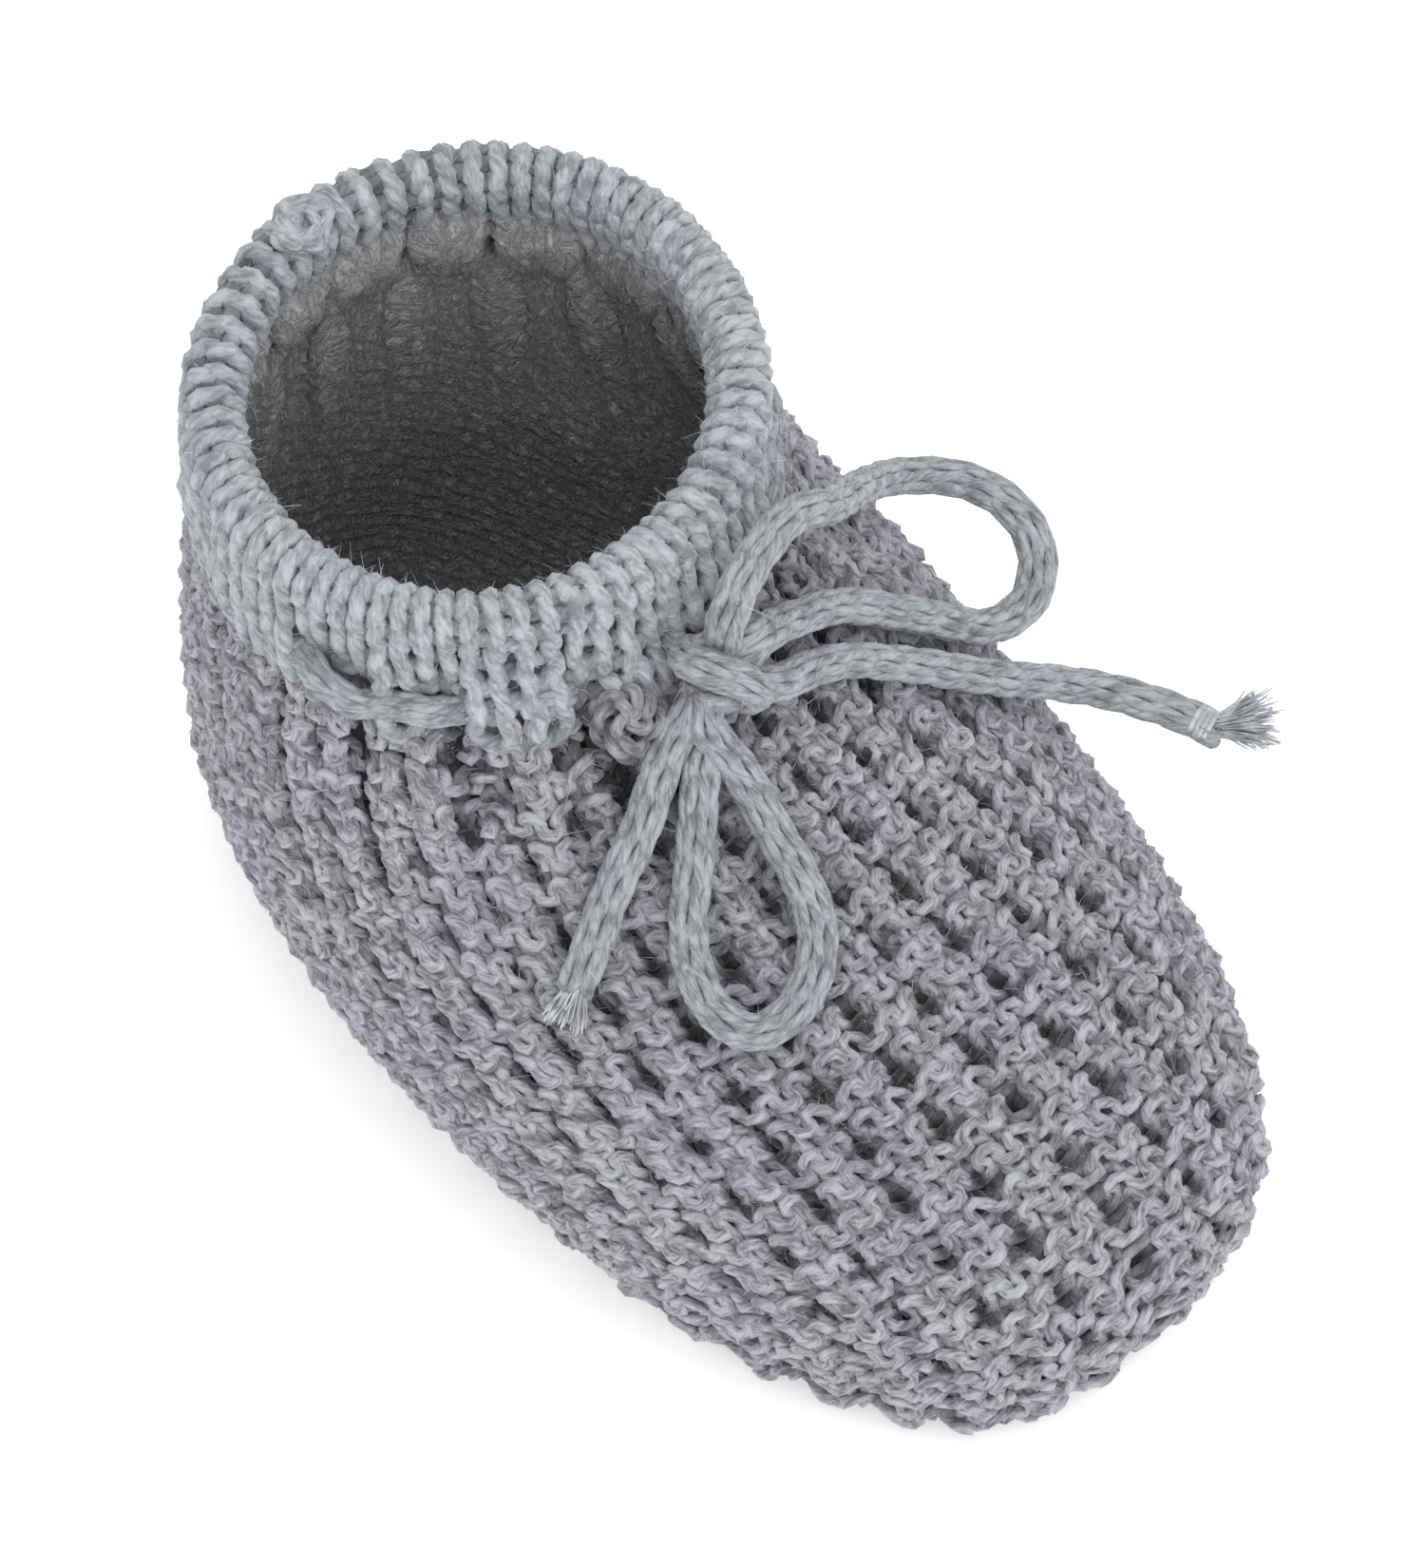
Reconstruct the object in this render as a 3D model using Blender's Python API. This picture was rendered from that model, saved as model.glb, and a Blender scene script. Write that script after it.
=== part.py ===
"""A knitted baby bootie with a rolled cuff, a drawstring round the waist and a bow over the instep.

Units are metres, +Z is up and the floor is z = 0. The toe points to -Y and the wearer's left is +X.
Every ring of the bootie is a set of points at the same angles: 0 is the back of the heel, a
quarter turn is the wearer's left side and a half turn is the toe. A profile climbs each angle from
the edge of the sole, over the foot, to the waist, the cuff and its roll, and back down inside.
"""
import bmesh
import bpy
import numpy as np

# Foot: the outline where the upper meets the sole
SOLE_LENGTH = 0.0950
HEEL_WIDTH = 0.0460
BALL_WIDTH = 0.0520
OUTLINE_POWER = 0.64  # 1 is an ellipse, and less is fuller at the toe and heel
HEEL_REACH = 0.15  # how far along from the heel the sole keeps the heel's width
BALL_REACH = 0.75  # and where along it has reached the ball's width
EDGE_HEIGHT = 0.0038
TOE_SPRING = 0.0020

# Foot: how far the profile swells out past the outline, and how high, at the heel and at the toe
SIDE_SWELL = 0.8  # below 1, the swell at the outline's corners leans towards the toe and the heel
HEEL_SWELL = 0.0062
HEEL_RISE = 0.0100
TOE_SWELL = 0.0122
TOE_RISE = 0.0182
# Foot: how it comes up to the waist, steep at the heel and along the instep at the toe
HEEL_RUN = 0.0000
HEEL_DROP = 0.0250
INSTEP_RUN = 0.0110
INSTEP_DROP = 0.0208

# Waist, where the drawstring pulls in: an oval ring, a little higher at the back
WAIST_HALF_WIDTH = 0.0241
WAIST_HALF_LENGTH = 0.0222
WAIST_BACK = 0.0260  # how far its middle is behind the middle of the sole
WAIST_HEIGHT = 0.0467
WAIST_TILT = 0.0032

# Cuff: the ring down the middle of its roll, and the roll's own radius
COLLAR_HALF_WIDTH = 0.0213
COLLAR_HALF_LENGTH = 0.0189
COLLAR_BACK = 0.0286
COLLAR_HEIGHT = 0.0532
COLLAR_TILT = 0.0032
ROLL_RADIUS = 0.0024
ROLL_TUCK = 0.0003  # how far the fabric tucks in under the roll, inside
CUFF_SWELL = 0.0005

WALL = 0.0024
WAIST_WALL = 0.8 * WALL  # behind the drawstring's groove, where the fabric is pulled tight
GAP = 0.0003  # between the pieces that meet
CORD_DIAMETER = 0.0028
GROOVE_RADIUS = CORD_DIAMETER / 2 + GAP + 0.0001  # of the groove that the drawstring lies in
CORD_LIFT = 0.0002  # how far up and out of the groove's own middle the drawstring lies

# Sole panel
SOLE_THICKNESS = 0.0032
EDGE_ROUND = 0.0040
EDGE_ROUND_TOP = 0.55  # how far up its side the sole is rounded
TOE_ROUND = 0.0120  # the sole leaves the floor this far behind the toe
LEDGE = WALL + 0.0014  # the level rim of the sole that the upper stands over
TOP_INSET = 0.0010  # how far inside its base the sole's raised top begins

# Bow knot, measured from the middle of the drawstring at the front of the waist
KNOT_HALF = (0.0042, 0.0030, 0.0032)
KNOT_OUT = 0.0032
KNOT_UP = 0.0004
KNOT_ROOM = 0.0015  # from each side of the knot to where the drawstring begins

# The bow's cords: places chosen by hand along each route, measured from the middle of the knot
CORD_SPACING = 0.0030
BOW_ROUTES = {
    # a loop that stands off over the wearer's left side: out along its upper leg and back below
    "bow_loop_left": (
        (0.0022, 0.0012, 0.0046), (0.0062, 0.0028, 0.0054), (0.0118, 0.0042, 0.0048),
        (0.0168, 0.0046, 0.0012), (0.0218, 0.0070, -0.0036), (0.0276, 0.0082, -0.0084),
        (0.0322, 0.0058, -0.0106),
        (0.0340, 0.0020, -0.0118), (0.0335, -0.0018, -0.0136), (0.0303, -0.0042, -0.0152),
        (0.0256, -0.0040, -0.0146), (0.0205, -0.0014, -0.0108), (0.0145, 0.0010, -0.0062),
        (0.0088, 0.0010, -0.0026), (0.0054, 0.0006, -0.0008),
    ),
    # a loop that hangs down the instep
    "bow_loop_down": (
        (-0.0004, -0.0028, -0.0046), (-0.0012, -0.0048, -0.0074), (-0.0022, -0.0078, -0.0102),
        (-0.0028, -0.0115, -0.0123), (-0.0042, -0.0149, -0.0141), (-0.0072, -0.0175, -0.0154),
        (-0.0108, -0.0184, -0.0163), (-0.0137, -0.0175, -0.0165), (-0.0148, -0.0147, -0.0157),
        (-0.0139, -0.0113, -0.0140), (-0.0118, -0.0086, -0.0121), (-0.0090, -0.0064, -0.0103),
        (-0.0062, -0.0040, -0.0078), (-0.0042, -0.0024, -0.0056),
    ),
    # the end that leaves to the wearer's left, under the loop, and runs on past the shoe's side
    "cord_end_left": (
        (0.0044, -0.0018, -0.0040), (0.0084, -0.0016, -0.0060), (0.0124, -0.0022, -0.0082),
        (0.0177, -0.0046, -0.0117), (0.0232, -0.0076, -0.0156), (0.0272, -0.0096, -0.0180),
        (0.0308, -0.0128, -0.0196), (0.0336, -0.0172, -0.0206), (0.0350, -0.0208, -0.0212),
    ),
    # the end that lies down the wearer's right side of the instep
    "cord_end_down": (
        (-0.0062, 0.0002, -0.0034), (-0.0082, -0.0012, -0.0062), (-0.0112, -0.0022, -0.0080),
        (-0.0155, -0.0031, -0.0103), (-0.0196, -0.0045, -0.0127), (-0.0227, -0.0058, -0.0150),
        (-0.0247, -0.0062, -0.0163),
    ),
}

# How finely the rings and rows are set
AROUND = 64
CROWDING = 0.2  # of the rings' points, round the toe and the heel
BODY_ROWS = 14
ROW_CROWDING = 1.25  # of the body's rows, over the sole's edge
GROOVE_TURNS = (-140, -180, -220, -258)  # degrees round the drawstring, from below to above
CUFF_SHARES = (0.35, 0.7)  # where the cuff's rows lie, from the groove to the roll
ROLL_START = -30  # degrees round the roll, from straight out
ROLL_END = 180
ROLL_ROWS = 6
SOLE_ROWS = 4
SHARP_ANGLE = 50
EVEN = np.linspace(0, 2 * np.pi, AROUND, endpoint=False)
ANGLES = EVEN - CROWDING * np.sin(2 * EVEN)
UP = np.array([0.0, 0.0, 1.0])


def smoothstep(t):
    t = np.clip(t, 0, 1)
    return t * t * (3 - 2 * t)


def points(x, y, z):
    return np.stack(np.broadcast_arrays(x, y, z), axis=-1).astype(float)


def toe_share(angle):
    """0 at the back of the heel and 1 at the toe."""
    return (1 - np.cos(angle)) / 2


def outward(angle):
    """The level direction in which the foot swells out past the outline."""
    way = points(SIDE_SWELL * np.sin(angle), np.cos(angle), 0)
    return way / np.linalg.norm(way, axis=-1, keepdims=True)


def edge_height(angle):
    return EDGE_HEIGHT + TOE_SPRING * toe_share(angle) ** 4


def outline(angle):
    """The edge where the upper meets the sole: a full oval, wider at the ball than at the heel."""
    ball = smoothstep((toe_share(angle) - HEEL_REACH) / (BALL_REACH - HEEL_REACH))
    half = (HEEL_WIDTH * (1 - ball) + BALL_WIDTH * ball) / 2
    across = np.sign(np.sin(angle)) * np.abs(np.sin(angle)) ** OUTLINE_POWER * half
    return points(across, SOLE_LENGTH / 2 * np.cos(angle), edge_height(angle))


def waist(angle):
    across = WAIST_HALF_WIDTH * np.sin(angle)
    along = WAIST_BACK + WAIST_HALF_LENGTH * np.cos(angle)
    return points(across, along, WAIST_HEIGHT + WAIST_TILT * np.cos(angle))


def collar(angle):
    across = COLLAR_HALF_WIDTH * np.sin(angle)
    along = COLLAR_BACK + COLLAR_HALF_LENGTH * np.cos(angle)
    return points(across, along, COLLAR_HEIGHT + COLLAR_TILT * np.cos(angle))


def foot(angle, t):
    """The foot's outer surface: a Bezier curve at each angle, from the sole's edge to the waist."""
    toe = toe_share(angle)[..., None]
    swell = HEEL_SWELL * (1 - toe) + TOE_SWELL * toe
    rise = HEEL_RISE * (1 - toe) + TOE_RISE * toe
    run = HEEL_RUN * (1 - toe) + INSTEP_RUN * toe
    drop = HEEL_DROP * (1 - toe) + INSTEP_DROP * toe
    low, high = outline(angle), waist(angle)
    second = low + outward(angle) * swell + UP * rise
    third = high + outward(angle) * run - UP * drop
    return (1 - t) ** 3 * low + 3 * t * (1 - t) ** 2 * second + 3 * t * t * (1 - t) * third + t**3 * high


def foot_normal(angle, t):
    step = 1e-4
    round_it = foot(angle + step, t) - foot(angle - step, t)
    up_it = foot(angle, min(t + step, 1)) - foot(angle, max(t - step, 0))
    normal = np.cross(up_it, round_it)
    return normal / np.linalg.norm(normal, axis=-1, keepdims=True)


def level_outward(angle):
    way = points(np.sin(angle), np.cos(angle), 0)
    return way / np.linalg.norm(way, axis=-1, keepdims=True)


def drawstring_line(angle):
    """The middle of the drawstring, half sunk in its groove above the waist."""
    rise = CORD_DIAMETER / 2 + GAP + CORD_LIFT
    return waist(angle) + UP * rise + level_outward(angle) * CORD_LIFT


def around_line(line, angle, radius, turn):
    """A ring beside another: turn is 0 straight out, a quarter turn up and a half turn inwards."""
    return line + level_outward(angle) * radius * np.cos(turn) + UP * radius * np.sin(turn)


def upper_rows():
    """The upper's rings in order: up the outside, over the roll and down the inside."""
    a = ANGLES
    steps = np.linspace(0, 1, BODY_ROWS) ** ROW_CROWDING
    outside = [foot(a, t) for t in steps]
    line = drawstring_line(a)
    outside += [around_line(line, a, GROOVE_RADIUS, turn) for turn in np.radians(GROOVE_TURNS)]
    low_cuff, roll = outside[-1], collar(a)
    roll_starts = around_line(roll, a, ROLL_RADIUS, np.radians(ROLL_START))
    for share in CUFF_SHARES:
        middle = low_cuff * (1 - share) + roll_starts * share
        outside.append(middle + level_outward(a) * CUFF_SWELL)
    turns = np.radians(np.linspace(ROLL_START, ROLL_END, ROLL_ROWS + 1))
    over = [around_line(roll, a, ROLL_RADIUS, turn) for turn in turns]
    below_roll = over[-1] - UP * ROLL_RADIUS * 1.5 + level_outward(a) * ROLL_TUCK
    waist_inside = line - level_outward(a) * (GROOVE_RADIUS + WAIST_WALL)
    inside = [foot(a, t) - foot_normal(a, t) * WALL for t in steps[-2:1:-1]]
    foot_inside = outline(a) - outward(a) * WALL
    return outside + over + [below_roll, waist_inside] + inside + [foot_inside]


def sole_rows():
    """The sole's rings, from its flat base round its edge to its flat top."""
    a = ANGLES
    edge, way = outline(a), outward(a)
    inset = (EDGE_ROUND + (TOE_ROUND - EDGE_ROUND) * toe_share(a) ** 4)[:, None]
    side_low = edge_height(a) * EDGE_ROUND_TOP
    rows = []
    for turn in np.linspace(0, np.pi / 2, SOLE_ROWS):
        ring = edge - way * inset * (1 - np.sin(turn))
        ring[:, 2] = side_low * (1 - np.cos(turn))
        rows.append(ring)
    rows.append(edge - UP * GAP)
    rows.append(edge - UP * GAP - way * LEDGE)
    top = edge - way * (inset + TOP_INSET)
    top[:, 2] = SOLE_THICKNESS
    rows.append(top)
    return rows


def middle_of_length(rows):
    along = np.concatenate(rows)[:, 1]
    return (along.min() + along.max()) / 2


CENTRE = np.array([0.0, middle_of_length(upper_rows()), 0.0])


def material(name, colour, roughness):
    made = bpy.data.materials.new(name)
    made.use_nodes = True
    shader = made.node_tree.nodes["Principled BSDF"]
    shader.inputs["Base Color"].default_value = (*colour, 1)
    shader.inputs["Roughness"].default_value = roughness
    shader.inputs["Metallic"].default_value = 0
    return made


def add_object(name, data, finish):
    made = bpy.data.objects.new(name, data)
    bpy.context.scene.collection.objects.link(made)
    data.materials.append(finish)
    return made


def mesh_from_rows(name, rows, finish, tube):
    """Quads between neighbouring rings. A tube's last ring joins its first, and else both ends close."""
    bm = bmesh.new()
    rings = [[bm.verts.new(p - CENTRE) for p in row] for row in rows]
    pairs = list(zip(rings, rings[1:])) + ([(rings[-1], rings[0])] if tube else [])
    for low, high in pairs:
        for i in range(AROUND):
            j = (i + 1) % AROUND
            bm.faces.new((low[i], high[i], high[j], low[j]))
    if not tube:
        bm.faces.new(rings[0])
        bm.faces.new(rings[-1][::-1])
    mesh = bpy.data.meshes.new(name)
    bm.to_mesh(mesh)
    bm.free()
    mesh.shade_smooth()
    mesh.set_sharp_from_angle(angle=np.radians(SHARP_ANGLE))
    return add_object(name, mesh, finish)


def smooth_through(route, spacing):
    """Points at an even spacing along a Catmull-Rom curve through the route's points."""
    route = np.array(route, float)
    padded = np.concatenate([[2 * route[0] - route[1]], route, [2 * route[-1] - route[-2]]])
    fine = []
    for a, b, c, d in zip(padded, padded[1:], padded[2:], padded[3:]):
        for t in np.linspace(0, 1, 20, endpoint=False):
            bend = (-a + 3 * b - 3 * c + d) * t**3 + (2 * a - 5 * b + 4 * c - d) * t * t + (c - a) * t
            fine.append(b + bend / 2)
    fine = np.array(fine + [route[-1]])
    along = np.concatenate([[0], np.cumsum(np.linalg.norm(np.diff(fine, axis=0), axis=1))])
    at = np.linspace(0, along[-1], max(2, round(along[-1] / spacing) + 1))
    return np.stack([np.interp(at, along, fine[:, k]) for k in range(3)], axis=1)


def cord(name, line, finish):
    curve = bpy.data.curves.new(name, "CURVE")
    curve.dimensions = "3D"
    curve.bevel_depth = CORD_DIAMETER / 2
    curve.bevel_resolution = 2
    curve.use_fill_caps = True
    spline = curve.splines.new("POLY")
    spline.points.add(len(line) - 1)
    for point, place in zip(spline.points, line):
        point.co = (*place, 1)
    return add_object(name, curve, finish)


def knot_centre():
    front = np.array([np.pi])
    return (drawstring_line(front)[0] - CENTRE) + np.array([0, -KNOT_OUT, KNOT_UP])


def bow_knot(finish):
    bm = bmesh.new()
    bmesh.ops.create_icosphere(bm, subdivisions=3, radius=1)
    for vert in bm.verts:
        vert.co = [c * half for c, half in zip(vert.co, KNOT_HALF)]
    mesh = bpy.data.meshes.new("bow_knot")
    bm.to_mesh(mesh)
    bm.free()
    mesh.shade_smooth()
    made = add_object("bow_knot", mesh, finish)
    made.location = knot_centre()
    return made


def drawstring(finish):
    """The ring round the waist, from one side of the knot to the other."""
    opening = np.arcsin((KNOT_HALF[0] + KNOT_ROOM) / WAIST_HALF_WIDTH)
    around = np.linspace(np.pi + opening, 3 * np.pi - opening, AROUND)
    cord("drawstring", drawstring_line(around) - CENTRE, finish)


def bow(finish):
    middle = knot_centre()
    for name, route in BOW_ROUTES.items():
        cord(name, smooth_through(route, CORD_SPACING) + middle, finish)


def clear_scene():
    for old in list(bpy.data.objects):
        bpy.data.objects.remove(old, do_unlink=True)


def build():
    clear_scene()
    wool = material("grey_melange_knit", (0.29, 0.31, 0.33), 0.95)
    sole_wool = material("grey_melange_sole_knit", (0.27, 0.29, 0.31), 0.95)
    cord_wool = material("grey_melange_cord", (0.33, 0.35, 0.37), 0.92)
    mesh_from_rows("upper", upper_rows(), wool, tube=True)
    mesh_from_rows("sole", sole_rows(), sole_wool, tube=False)
    drawstring(cord_wool)
    bow_knot(cord_wool)
    bow(cord_wool)


build()
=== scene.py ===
# %% [markdown]
# # A knitted baby bootie, stitch by stitch
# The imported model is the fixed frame: a hollow upper, a sole, a drawstring and a bow of plain tubes.
# Here those plain solids are replaced by real yarn. A knit could be faked with a bump map, but its
# deep pits and crossing strands only shade rightly when the yarn is there, so every stitch is a
# small tube that follows the path a needle gives it.

# %% Load the frame
import bpy
import numpy as np
from mathutils import Matrix, Vector
from mathutils.bvhtree import BVHTree


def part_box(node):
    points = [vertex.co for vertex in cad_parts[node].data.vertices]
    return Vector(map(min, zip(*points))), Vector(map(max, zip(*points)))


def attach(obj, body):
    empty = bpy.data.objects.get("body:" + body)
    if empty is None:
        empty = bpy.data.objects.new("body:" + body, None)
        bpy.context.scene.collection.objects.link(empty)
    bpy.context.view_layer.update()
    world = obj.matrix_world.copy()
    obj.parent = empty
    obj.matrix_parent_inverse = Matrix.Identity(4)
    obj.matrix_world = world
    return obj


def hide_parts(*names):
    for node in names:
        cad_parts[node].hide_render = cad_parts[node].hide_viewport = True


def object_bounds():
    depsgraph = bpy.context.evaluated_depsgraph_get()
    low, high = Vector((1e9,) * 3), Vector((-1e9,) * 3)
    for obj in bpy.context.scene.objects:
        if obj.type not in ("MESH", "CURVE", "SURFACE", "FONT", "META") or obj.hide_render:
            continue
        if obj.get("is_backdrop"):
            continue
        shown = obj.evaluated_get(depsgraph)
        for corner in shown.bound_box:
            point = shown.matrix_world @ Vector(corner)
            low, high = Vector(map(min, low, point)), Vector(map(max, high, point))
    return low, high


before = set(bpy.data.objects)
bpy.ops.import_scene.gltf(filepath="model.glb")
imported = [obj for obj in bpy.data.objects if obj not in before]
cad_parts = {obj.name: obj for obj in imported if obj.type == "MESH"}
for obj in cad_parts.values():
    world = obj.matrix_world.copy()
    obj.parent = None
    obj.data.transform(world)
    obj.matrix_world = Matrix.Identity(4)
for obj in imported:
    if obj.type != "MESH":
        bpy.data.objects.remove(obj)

CAD_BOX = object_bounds()
MM = 0.001
UP = np.array([0.0, 0.0, 1.0])
RNG = np.random.default_rng(7)
print("CAD box, mm:", [round(c / MM, 1) for corner in CAD_BOX for c in corner])

# %% [markdown]
# ## The camera
# It looks down over the wearer's right side of the toe, a little above the horizon's middle, from
# far enough away that a small shoe shows almost no perspective, and it is rolled by less than a
# degree. The shoe fills most of a frame that is 1500 wide and 1650 high.

# %% Camera
AZIMUTH, ELEVATION, ROLL = np.radians([-45.3, 54.3, 0.65])
CAMERA_DISTANCE = 0.760
VIEW_HEIGHT = 0.1225  # how much of the world the frame shows from bottom to top, at the shoe
SENSOR = 36.0
AIM = np.array([0.0, 0.0, 0.02375])
AIM_SHIFT = (-0.0003, 0.0042)  # sideways and up in the view

back = np.array([np.sin(AZIMUTH) * np.cos(ELEVATION), -np.cos(AZIMUTH) * np.cos(ELEVATION), np.sin(ELEVATION)])
level = np.array([np.cos(AZIMUTH), np.sin(AZIMUTH), 0.0])
rise = np.cross(back, level)
right = np.cos(ROLL) * level + np.sin(ROLL) * rise
up = np.cross(back, right)
camera_data = bpy.data.cameras.new("camera")
camera_data.sensor_width = SENSOR
camera_data.lens = SENSOR * CAMERA_DISTANCE / VIEW_HEIGHT
camera_data.clip_end = 10
camera = bpy.data.objects.new("camera", camera_data)
bpy.context.scene.collection.objects.link(camera)
place = AIM + right * AIM_SHIFT[0] + up * AIM_SHIFT[1] + back * CAMERA_DISTANCE
camera.matrix_world = Matrix([[*axes, where] for axes, where in zip(zip(right, up, back), place)] + [[0, 0, 0, 1]])
bpy.context.scene.camera = camera
print("lens", round(camera_data.lens, 1), "mm")

# %% [markdown]
# ## The last
# The foot's form is the frame's own: at each angle round the foot a curve climbs from the sole's
# edge to the waist. Angle 0 is the back of the heel, a quarter turn the wearer's left side and a
# half turn the toe. The sizes are the bootie's, and the check below measures how near the surface
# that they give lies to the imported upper.

# %% Sizes of the last
sole_low, sole_high = (np.array(corner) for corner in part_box("sole"))
SOLE_LENGTH = sole_high[1] - sole_low[1]
MIDDLE = np.array([0.0, (sole_low[1] + sole_high[1]) / 2, 0.0])
CORD = 2.8 * MM
HEEL_WIDTH, BALL_WIDTH, OUTLINE_POWER = 46 * MM, 52 * MM, 0.64
EDGE_HEIGHT, TOE_SPRING = 3.8 * MM, 2.0 * MM
HEEL_SWELL, HEEL_RISE, TOE_SWELL, TOE_RISE = 6.2 * MM, 10 * MM, 12.2 * MM, 18.2 * MM
HEEL_DROP, INSTEP_RUN, INSTEP_DROP = 25 * MM, 11 * MM, 20.8 * MM
WAIST_WIDE, WAIST_LONG, WAIST_BACK = 24.1 * MM, 22.2 * MM, 26 * MM
WAIST_HEIGHT, WAIST_TILT = 46.7 * MM, 3.2 * MM
COLLAR_WIDE, COLLAR_LONG, COLLAR_BACK = 21.3 * MM, 18.9 * MM, 28.6 * MM
COLLAR_HEIGHT, COLLAR_TILT = 53.2 * MM, 3.2 * MM
print("sole is", round(SOLE_LENGTH / MM, 1), "mm long")


# %% The last's own curves
def smoothstep(t):
    t = np.clip(t, 0, 1)
    return t * t * (3 - 2 * t)


def points(x, y, z):
    return np.stack(np.broadcast_arrays(x, y, z), axis=-1).astype(float)


def unit(v):
    return v / np.maximum(np.linalg.norm(v, axis=-1, keepdims=True), 1e-12)


def toe_share(angle):
    return (1 - np.cos(angle)) / 2


def outward(angle):
    return unit(points(0.8 * np.sin(angle), np.cos(angle), 0))


def level_outward(angle):
    return unit(points(np.sin(angle), np.cos(angle), 0))


def outline(angle):
    ball = smoothstep((toe_share(angle) - 0.15) / 0.6)
    half = (HEEL_WIDTH * (1 - ball) + BALL_WIDTH * ball) / 2
    across = np.sign(np.sin(angle)) * np.abs(np.sin(angle)) ** OUTLINE_POWER * half
    edge = EDGE_HEIGHT + TOE_SPRING * toe_share(angle) ** 4
    return points(across, SOLE_LENGTH / 2 * np.cos(angle), edge) + MIDDLE


def waist(angle):
    along = WAIST_BACK + WAIST_LONG * np.cos(angle)
    return points(WAIST_WIDE * np.sin(angle), along, WAIST_HEIGHT + WAIST_TILT * np.cos(angle)) + MIDDLE


def collar(angle):
    along = COLLAR_BACK + COLLAR_LONG * np.cos(angle)
    return points(COLLAR_WIDE * np.sin(angle), along, COLLAR_HEIGHT + COLLAR_TILT * np.cos(angle)) + MIDDLE


print("the waist stands", round(waist(np.array([0.0]))[0, 2] / MM, 1), "mm high at the heel")


# %% The last's surface
def foot(angle, t):
    """The foot's outer surface: t is 0 at the sole's edge and 1 at the waist."""
    toe = toe_share(angle)[..., None]
    low, high = outline(angle), waist(angle)
    second = low + outward(angle) * (HEEL_SWELL * (1 - toe) + TOE_SWELL * toe)
    second = second + UP * (HEEL_RISE * (1 - toe) + TOE_RISE * toe)
    third = high + outward(angle) * INSTEP_RUN * toe - UP * (HEEL_DROP * (1 - toe) + INSTEP_DROP * toe)
    return (1 - t) ** 3 * low + 3 * t * (1 - t) ** 2 * second + 3 * t * t * (1 - t) * third + t**3 * high


def drawstring_line(angle):
    return waist(angle) + UP * 1.9 * MM + level_outward(angle) * 0.2 * MM


def nearest_to(node, places):
    """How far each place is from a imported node, in millimetres."""
    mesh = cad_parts[node].data
    tree = BVHTree.FromPolygons([v.co for v in mesh.vertices], [tuple(f.vertices) for f in mesh.polygons])
    return np.array([tree.find_nearest(Vector(p))[3] for p in places]) / MM


probe = np.linspace(0, 2 * np.pi, 40)
gaps = np.concatenate([nearest_to("upper", foot(probe, t)) for t in (0.2, 0.5, 0.8)])
print("the last lies within", round(gaps.max(), 2), "mm of the packed upper")


# %% [markdown]
# ## Small tools
# A few helpers do nearly all of the making. Some turn arrays into meshes and put these in the scene.
# One turns lines into round yarn, with a UV map that runs along and round each strand so that a
# material can twist its plies, and joins many strands into one mesh. The rest add shader nodes.

# %% Meshes
def mesh_of(name, places, quads):
    """A mesh of quads. Arrays are handed over whole, because a long list of faces is slow."""
    mesh = bpy.data.meshes.new(name)
    mesh.vertices.add(len(places))
    mesh.vertices.foreach_set("co", places.astype(np.float32).ravel())
    mesh.loops.add(quads.size)
    mesh.loops.foreach_set("vertex_index", quads.astype(np.int32).ravel())
    mesh.polygons.add(len(quads))
    mesh.polygons.foreach_set("loop_start", np.arange(0, quads.size, 4, dtype=np.int32))
    mesh.update(calc_edges=True)
    return mesh


def give_map(mesh, corners):
    """A UV map with one place for each corner of each face."""
    mesh.uv_layers.new(name="yarn").uv.foreach_set("vector", corners.astype(np.float32).ravel())


def give_lift(mesh, lift):
    """How high each vertex stands off the fabric, in millimetres, which the material turns into painted shade."""
    mesh.attributes.new("lift", "FLOAT", "POINT").data.foreach_set("value", lift.astype(np.float32).ravel())


def object_of(mesh, material, smooth=True):
    """Puts a mesh in the scene under its own name."""
    if smooth:
        mesh.shade_smooth()
    mesh.materials.append(material)
    piece = bpy.data.objects.new(mesh.name, mesh)
    bpy.context.scene.collection.objects.link(piece)
    print(mesh.name, sum(len(face.vertices) - 2 for face in mesh.polygons), "triangles")
    return piece


# %% Yarn from lines
def swept(lines, facing, radius, sides):
    """Rings round m lines of n points each. Facing says where each ring starts; radius may vary."""
    along = unit(np.gradient(lines, axis=1))
    side = unit(np.cross(along, facing))
    out = np.cross(side, along)
    turn = 2 * np.pi * np.arange(sides) / sides
    wheel = out[:, :, None] * np.cos(turn)[:, None] + side[:, :, None] * np.sin(turn)[:, None]
    size = np.broadcast_to(radius, lines.shape[:2])
    return lines[:, :, None] + wheel * size[..., None, None]


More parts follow.
